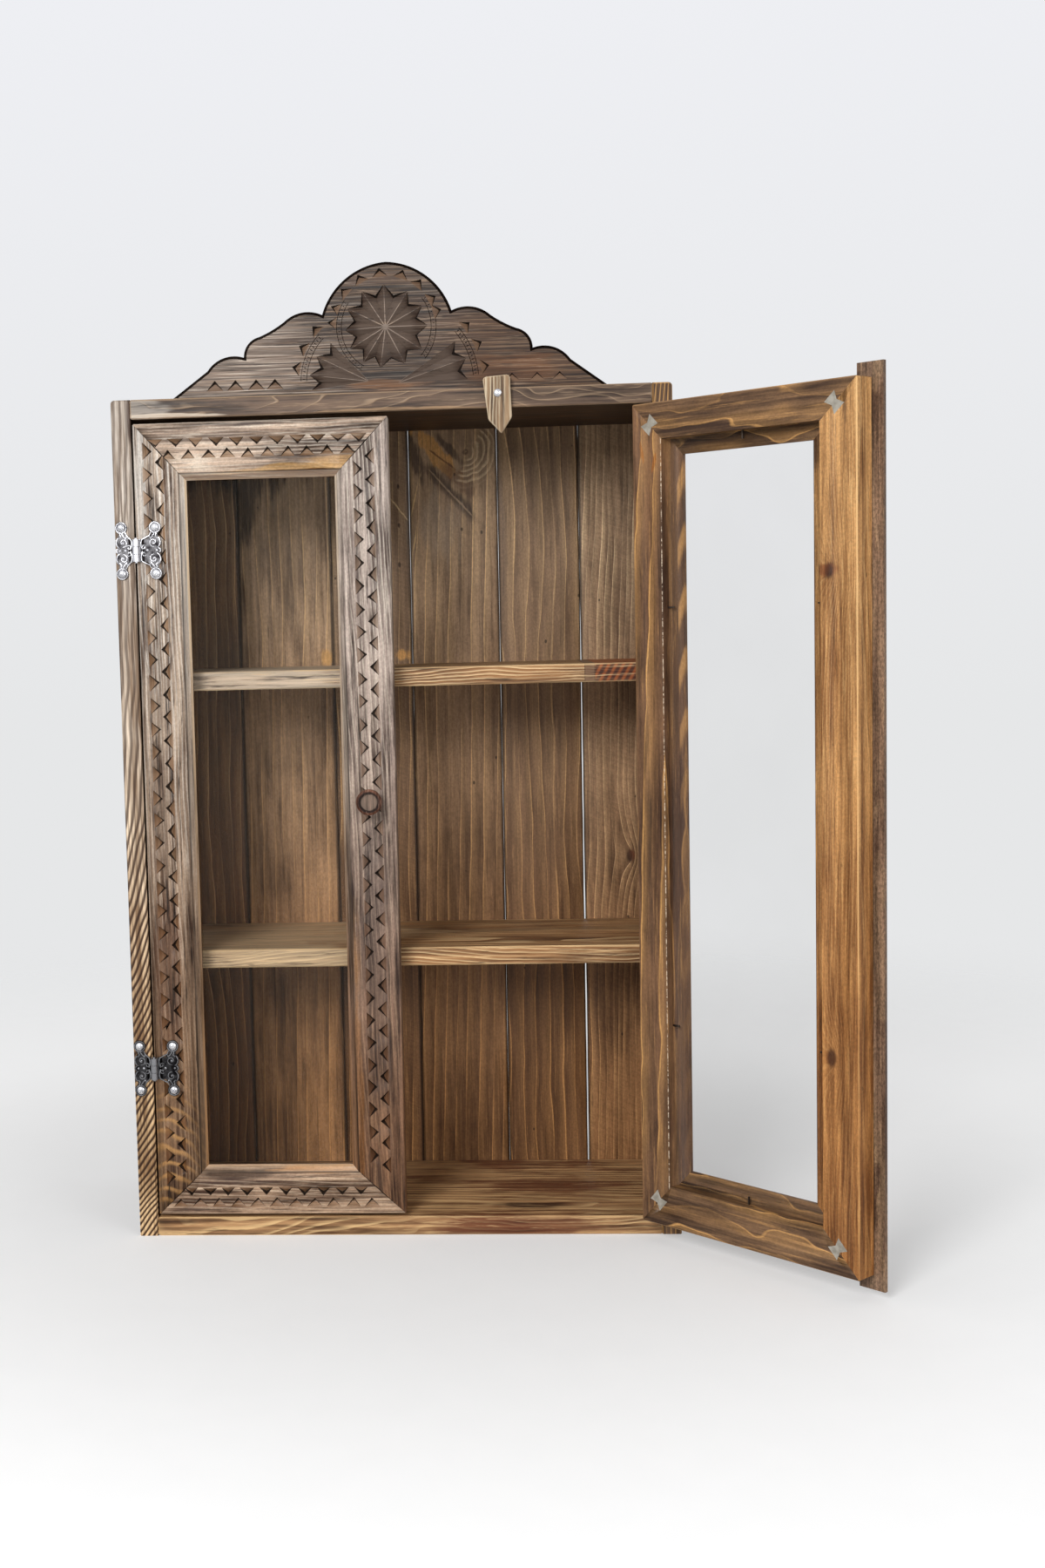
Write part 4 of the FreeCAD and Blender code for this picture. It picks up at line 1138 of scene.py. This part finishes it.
planks = (
    # first plank: its dark patch at the top is painted shade under the top board
    dict(pith=(-0.27, 0.03), mid=(140, 106, 76),
         patches=[(-0.17, 0.632, 0.06, 0.034, (24, 16, 11), 0.8, 0, 0.5)]),
    # second plank: its first, slanting dark patch is a painted cast shadow
    dict(pith=(-0.03, 0.05), mid=(206, 174, 140),
         patches=[(-0.122, 0.606, 0.024, 0.064, (44, 31, 23), 0.85, -0.55, 0.35),
                  (-0.092, 0.606, 0.005, 0.030, (176, 150, 122), 0.5, -0.8, 0.45),
                  (-0.066, 0.4555, 0.005, 0.008, (214, 168, 106), 0.9)]),
    dict(pith=(0.10, 0.05), mid=(142, 116, 92), saw=0.12,
         patches=[(-0.0002, 0.578, 0.0008, 0.0095, (214, 184, 138), 0.85, 0.78),
                  (-0.002, 0.456, 0.008, 0.005, (222, 168, 100), 0.9),
                  (-0.0016, 0.599, 0.0012, 0.0024, DARK_DOT, 0.95),
                  (-0.0018, 0.566, 0.0012, 0.0020, DARK_DOT, 0.95),
                  (-0.0022, 0.533, 0.0012, 0.0022, DARK_DOT, 0.95)]),
    dict(pith=(0.15, 0.03), mid=(176, 146, 116), tilt=0.03,
         patches=[(0.0140, 0.622, 0.006, 0.022, (52, 36, 27), 0.8, 0.2),
                  (0.0416, 0.6295, 0.0046, 0.014, (58, 42, 32), 0.8, 0.79),
                  (0.0300, 0.6270, 0.0098, 0.022, (204, 150, 86), 0.9, 0.79, 0.14),
                  (0.0365, 0.6200, 0.0014, 0.010, (84, 52, 30), 0.8, 1.3),
                  (0.0505, 0.6030, 0.0085, 0.014, (104, 74, 54), 0.7, 0.9),
                  (0.0385, 0.5965, 0.0056, 0.027, (52, 37, 29), 0.85, 0.9, 0.6),
                  (0.0430, 0.5915, 0.0009, 0.018, (206, 174, 138), 0.5, 0.9, 0.5),
                  (0.0128, 0.5900, 0.0007, 0.017, GILT, 0.9, -0.25),
                  (0.0118, 0.5535, 0.0007, 0.019, GILT, 0.9, -0.19),
                  (0.030, 0.560, 0.020, 0.030, (178, 160, 140), 0.35)]),
    dict(pith=(0.05, 0.06), mid=(146, 118, 92), rings=92.0, lines=0.8),
    dict(pith=(0.26, 0.05), mid=(178, 146, 114), rings=190.0,
         knots=[(0.190, 0.280, 0.0042, 0.012)], saw=0.12, lines=0.95, light=(240, 208, 164),
         tilt=0.03),
)
PLANK = dict(dark=(104, 80, 58), light=(232, 194, 144), tilt=0.015, lines=0.85, worn=0.0,
             specks=0.7, rings=110.0, low=(0.74, 0.55, 0.38), sharp=0.87, hair=0.3, halo=0.3,
             fibres=0.22, blotch=0.4, dusty=0.12)
for index, settings in enumerate(planks):
    wood["back_plank_%d" % (index + 1)] = {
        **PLANK, "seed": 20.0 + index * 3.1, "insert": shaded_gap_edges(index + 1), **settings}

# left door: the pale greyish base stands partly for painted sheen; low darkens it toward the foot
LEFT_DOOR = dict(
    dark=(48, 31, 21), mid=(148, 122, 100), light=(244, 232, 214), lines=0.5, worn=0.25,
    hair=0.75, low=(0.66, 0.47, 0.33), blotch=0.45, dusty=0.12)
RIGHT_DOOR = dict(
    dark=(64, 44, 31), mid=(122, 92, 66), light=(212, 160, 98), lines=0.85, sharp=0.86,
    worn=0.35, hair=0.45, rings=72.0, wander=0.016, ripples=1.8, halo=0.4, dusty=0.1,
    face=(222, 228, 255), open_right=True)
door_members = {
    # paler still as painted sheen, with a near-white patch of it at the top of the outer strip
    "left_door_hinge_stile": dict(
        dark=(84, 60, 44), mid=(190, 170, 150), light=(250, 243, 232), hair=0.85,
        low=(0.42, 0.29, 0.19), chip=(174, 134, 98), insert=stile_foot,
        patches=[(-0.194, 0.60, 0.004, 0.05, (226, 220, 212), 0.5),
                 (-0.184, 0.20, 0.011, 0.10, (150, 118, 96), 0.5)]),
    "left_door_free_stile": dict(
        dark=(78, 60, 52), mid=(190, 173, 162), low=(0.40, 0.245, 0.15), hair=0.6, blotch=0.55,
        chip=(156, 128, 106),
        patches=[(-0.0205, 0.20, 0.010, 0.15, (138, 128, 124), 0.6),
                 (-0.036, 0.13, 0.0035, 0.10, (226, 186, 130), 0.5)]),
    "left_door_top_rail": dict(
        dark=(66, 47, 36), mid=(196, 170, 148), lines=0.35, hair=0.6, lip=0.1,
        patches=[(0.6015, -0.09, 0.0055, 0.085, (220, 172, 108), 0.6),
                 (0.606, -0.035, 0.006, 0.03, (210, 164, 106), 0.6),
                 (0.610, -0.15, 0.012, 0.03, (232, 218, 198), 0.6),
                 # the last band: the downward sight chamfer's orange-brown, darkened as painted
                 # shade
                 (0.5996, -0.10, 0.0034, 0.16, (112, 66, 26), 1.0, 0, 0.12)]),
    "left_door_bottom_rail": dict(
        dark=(86, 60, 44), mid=(214, 190, 168), light=(255, 242, 224), low=(0.68, 0.58, 0.49),
        patches=[(0.050, -0.135, 0.004, 0.04, (60, 40, 28), 0.85),
                 (0.053, -0.07, 0.003, 0.04, (240, 182, 116), 0.7)]),
    "right_door_hinge_stile": dict(
        pith=(0.12, -0.02), tilt=0.03, dark=(58, 38, 27), mid=(126, 92, 66), insert=lip_ovals,
        fibres=0.25, lines=0.95,
        patches=[(0.179, 0.597, 0.0040, 0.016, (158, 98, 44), 0.9, 0.25, 0.12),
                 (0.190, 0.606, 0.0028, 0.013, (164, 104, 48), 0.85, -0.2, 0.12)]),
    "right_door_free_stile": dict(
        dark=(132, 86, 46), mid=(198, 148, 94), light=(240, 196, 136), lines=0.3, worn=0.8,
        pith=(-0.14, -0.02), tilt=0.01, rings=420.0, specks=0.4, hair=0.55, wander=0.006,
        sharp=0.5, low=(0.8, 0.66, 0.52), dusty=0.14, ripples=0.5, insert=sight_shadow,
        face=(178, 200, 255), knots=[(0.0240, 0.5118, 0.0042, 0.011),
                                     (0.0235, 0.1728, 0.005, 0.012)],
        patches=[(0.040, 0.62, 0.008, 0.035, (92, 64, 46), 0.95),
                 (0.028, 0.513, 0.012, 0.004, (120, 62, 34), 0.7)]),
}
for side, label in DOORS:
    members = {
        "hinge_stile": dict(seed=31.0, pith=(side * 0.29, -0.05), tilt=0.02, lip=0.95,
                            sight=(0, (DOOR_HINGE - HINGE_STILE) * MM, 1.0)),
        "free_stile": dict(seed=35.0, pith=(side * 0.10, -0.06), tilt=0.04,
                           sight=(0, (DOOR_FREE + FREE_STILE) * MM, -1.0)),
        "top_rail": dict(grain="x", seed=39.0, pith=(0.72, -0.06), tilt=0.02,
                         sight=(2, (DOOR_HIGH - rail_width(side, "top")) * MM, 1.0)),
        "bottom_rail": dict(grain="x", seed=43.0, pith=(-0.06, -0.05), tilt=0.02,
                            sight=(2, (DOOR_LOW + rail_width(side, "bottom")) * MM, -1.0)),
    }
    for member, settings in members.items():
        node = "%s_door_%s" % (label, member)
        settings["seed"] += side * 2.0
        wood[node] = {"rings": 340.0, "wander": 0.007, **(LEFT_DOOR if side < 0 else RIGHT_DOOR),
                      **settings, **door_members.get(node, {})}


# ---- metal and glass
def metal(name, base, spot, rough, metallic=1.0, insert=None, low_share=None):
    """Slightly uneven metal. The lower hinges keep only low_share of its light, as painted shade.
    """
    material = bpy.data.materials.new(name)
    t = Tree(material)
    coords = t.object_place()
    x, y, z = t.split(coords)
    grain = t.noise(coords, 900.0, 3.0, 0.6)
    colour = t.mix(t.span(t.noise(coords, 198.0), 0.35, 0.7), base, spot)
    if insert:
        colour = insert(t, colour, x, y, z)
    if low_share is not None:
        # painted shade: colour darkened to low_share below about 0.25 m
        lower_hinge_shade = (low_share, low_share, low_share, 1.0)
        colour = t.tinted(colour, t.mix(t.span(z, 0.25, 0.4), lower_hinge_shade, WHITE))
    t.finish(t.principled(colour, Metallic=metallic, Normal=t.bump(grain, 0.25, 0.0002),
                          Roughness=t.span(grain, 0.2, 0.8, rough - 0.1, rough + 0.14)))
    return material


def hinge_insert(t, colour, x, y, z):
    """Bright, rubbed barrel about the pin, and painted shade in the gap beside it."""
    from_pin = t.hypot(abs(x) - PIN_X * MM, y - PIN_Y * MM)
    barrel = t.fall(from_pin, 0.0034, 0.0037)
    barrel_gap_shade = (1.0 - barrel) * t.fall(from_pin, 0.0062, 0.0068)
    return t.mix(barrel_gap_shade, t.mix(barrel, colour, (222, 222, 226)), (24, 22, 22))


def clear_glass(name):
    material = bpy.data.materials.new(name)
    t = Tree(material)
    smear = t.noise(t.object_place(), 9.0, 3.0, 0.6)
    t.finish(t.principled(t.mix(smear, (84, 84, 80), (96, 96, 92)), Roughness=0.04,
                          Alpha=t.span(smear, 0.2, 0.8, 0.03, 0.05)))
    return material


def assign(obj, material):
    obj.data.materials.clear()
    obj.data.materials.append(material)


KNOB = dict(seed=61.0, dark=(58, 32, 22), mid=(112, 72, 54), light=(190, 150, 128),
            pith=(-0.05, -0.1), rings=420.0, lines=0.3, rough=0.2, worn=0.0, insert=knob_rings)
for node, settings in wood.items():
    copies = [bpy.data.objects.get(node + end) for end in ("_carved", "_ragged")]
    target = next((obj for obj in copies if obj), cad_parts[node])
    assign(target, pine("wood_" + node, **settings))

nickel = metal("antique_nickel", (104, 103, 105), (36, 34, 36), 0.36, insert=hinge_insert,
               low_share=0.4)
polished = metal("worn_nickel", (226, 226, 230), (176, 176, 180), 0.26, low_share=0.45)
bright = metal("bright_screw", (232, 232, 234), (196, 196, 200), 0.22)
steel = metal("dull_nail", (92, 82, 74), (54, 46, 40), 0.5)
# the first part of a node's name that fits gives its material
looks = (("glass", clear_glass("clear_pane")),
         ("left_door_knob", pine("knob_wood_left", **KNOB)),
         ("right_door_knob", pine("knob_wood_right", open_right=True, **KNOB)),
         ("dowels", pine("dowel_wood", seed=63.0, worn=0.0)),
         ("keys", metal("grey_key", (172, 166, 154), (140, 134, 122), 0.6, 0.0)),
         ("screw", bright), ("nails", steel), ("brads", steel), ("", nickel))
for pieces, material, slot in ((relief_pieces, polished, "hinge_nickel"),
                               (screw_pieces, bright, "bright_screw")):
    for piece in pieces:
        assign(piece, material)
for node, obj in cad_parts.items():
    if node not in wood:
        assign(obj, next(material for part, material in looks if part in node))

# ---- stage, light and camera
HORIZON = (230, 231, 232)


def set_world():
    """Even light, and a pale backdrop for the camera, for gloss and for glass."""
    world = bpy.data.worlds.new("studio")
    bpy.context.scene.world = world
    t = Tree(world)
    paths = t.node("LightPath").outputs
    seen = t.math("MAXIMUM", paths["Is Camera Ray"], paths["Is Glossy Ray"])
    seen = t.math("MAXIMUM", seen, paths["Is Transmission Ray"])
    lighting = t.first("Background", {"Color": WHITE, "Strength": 0.4})
    height = t.split(t.node("TexCoord").outputs["Generated"])[2]
    sky = t.mix(t.span(height, -0.05, 0.3, kind="LINEAR"), HORIZON, (238, 239, 243))
    backdrop = t.first("Background", {"Color": sky, "Strength": 1.0})
    t.finish(t.first("MixShader", {0: seen, 1: lighting, 2: backdrop}), "OutputWorld")


def set_floor():
    """Pale floor that fades into the background away from the cabinet."""
    size = 4000.0
    mesh = mesh_from("floor", [(-size, -size, 0), (size, -size, 0), (size, size, 0),
                               (-size, size, 0)], [(0, 1, 2, 3)])
    floor = add_object("floor", mesh)
    material = bpy.data.materials.new("floor")
    t = Tree(material)
    coords = t.object_place()
    away = t.node("VectorMath", {0: coords}, operation="LENGTH").outputs["Value"]
    mottle = t.mix(t.noise(coords, 30.0, 3.0, 0.6), (226, 226, 226), (232, 232, 232))
    glow = t.span(away, 0.25, 0.72, 0.29, 0.47) * t.node("LightPath").outputs["Is Camera Ray"]
    diffuse = t.principled(mottle, Roughness=0.9, Specular_IOR_Level=0.1)
    emission = t.first("Emission", {"Color": srgb(*HORIZON), "Strength": glow})
    lit = t.first("AddShader", {0: diffuse, 1: emission})
    t.finish(t.first("MixShader", {0: t.span(away, 0.7, 1.5), 1: lit,
                                   2: t.first("BsdfTransparent")}))
    mesh.materials.append(material)


def add_light(name, place, target, size, power):
    data = bpy.data.lights.new(name, "AREA")
    data.shape = "DISK"
    data.size = size
    data.energy = power
    light = add_object(name, data)
    light.location = place
    light.rotation_euler = (Vector(target) - Vector(place)).to_track_quat("-Z", "Y").to_euler()


def set_camera():
    """The photograph's viewpoint, solved on points of the cabinet."""
    yaw, pitch, roll = 0.068475, -0.085006, -0.025394
    focal, centre_x, middle_x, long_side, sensor = 2170.105, 420.0, 600.0, 1800.0, 36.0
    forward = Vector((-math.sin(yaw) * math.cos(pitch), math.cos(yaw) * math.cos(pitch),
                      math.sin(pitch)))
    level = Vector((math.cos(yaw), math.sin(yaw), 0))
    upright = level.cross(forward)
    right = level * math.cos(roll) + upright * math.sin(roll)
    up = upright * math.cos(roll) - level * math.sin(roll)
    data = bpy.data.cameras.new("photo_view")
    data.sensor_width = sensor
    data.lens = focal * sensor / long_side
    data.shift_x = (middle_x - centre_x) / long_side
    data.clip_start = 0.05
    camera = add_object("photo_view", data)
    basis = Matrix((right, up, -forward)).transposed().to_4x4()
    camera.matrix_world = Matrix.Translation(Vector((75.38, -1543.96, 484.30)) * MM) @ basis
    bpy.context.scene.camera = camera


set_world()
set_floor()
add_light("key", (-0.9, -2.5, 1.5), (0.0, 0.0, 0.4), 1.2, 52.0)
add_light("fill", (1.9, -2.4, 1.0), (0.1, 0.0, 0.35), 1.6, 16.0)
set_camera()
bpy.context.scene.view_settings.view_transform = "Standard"
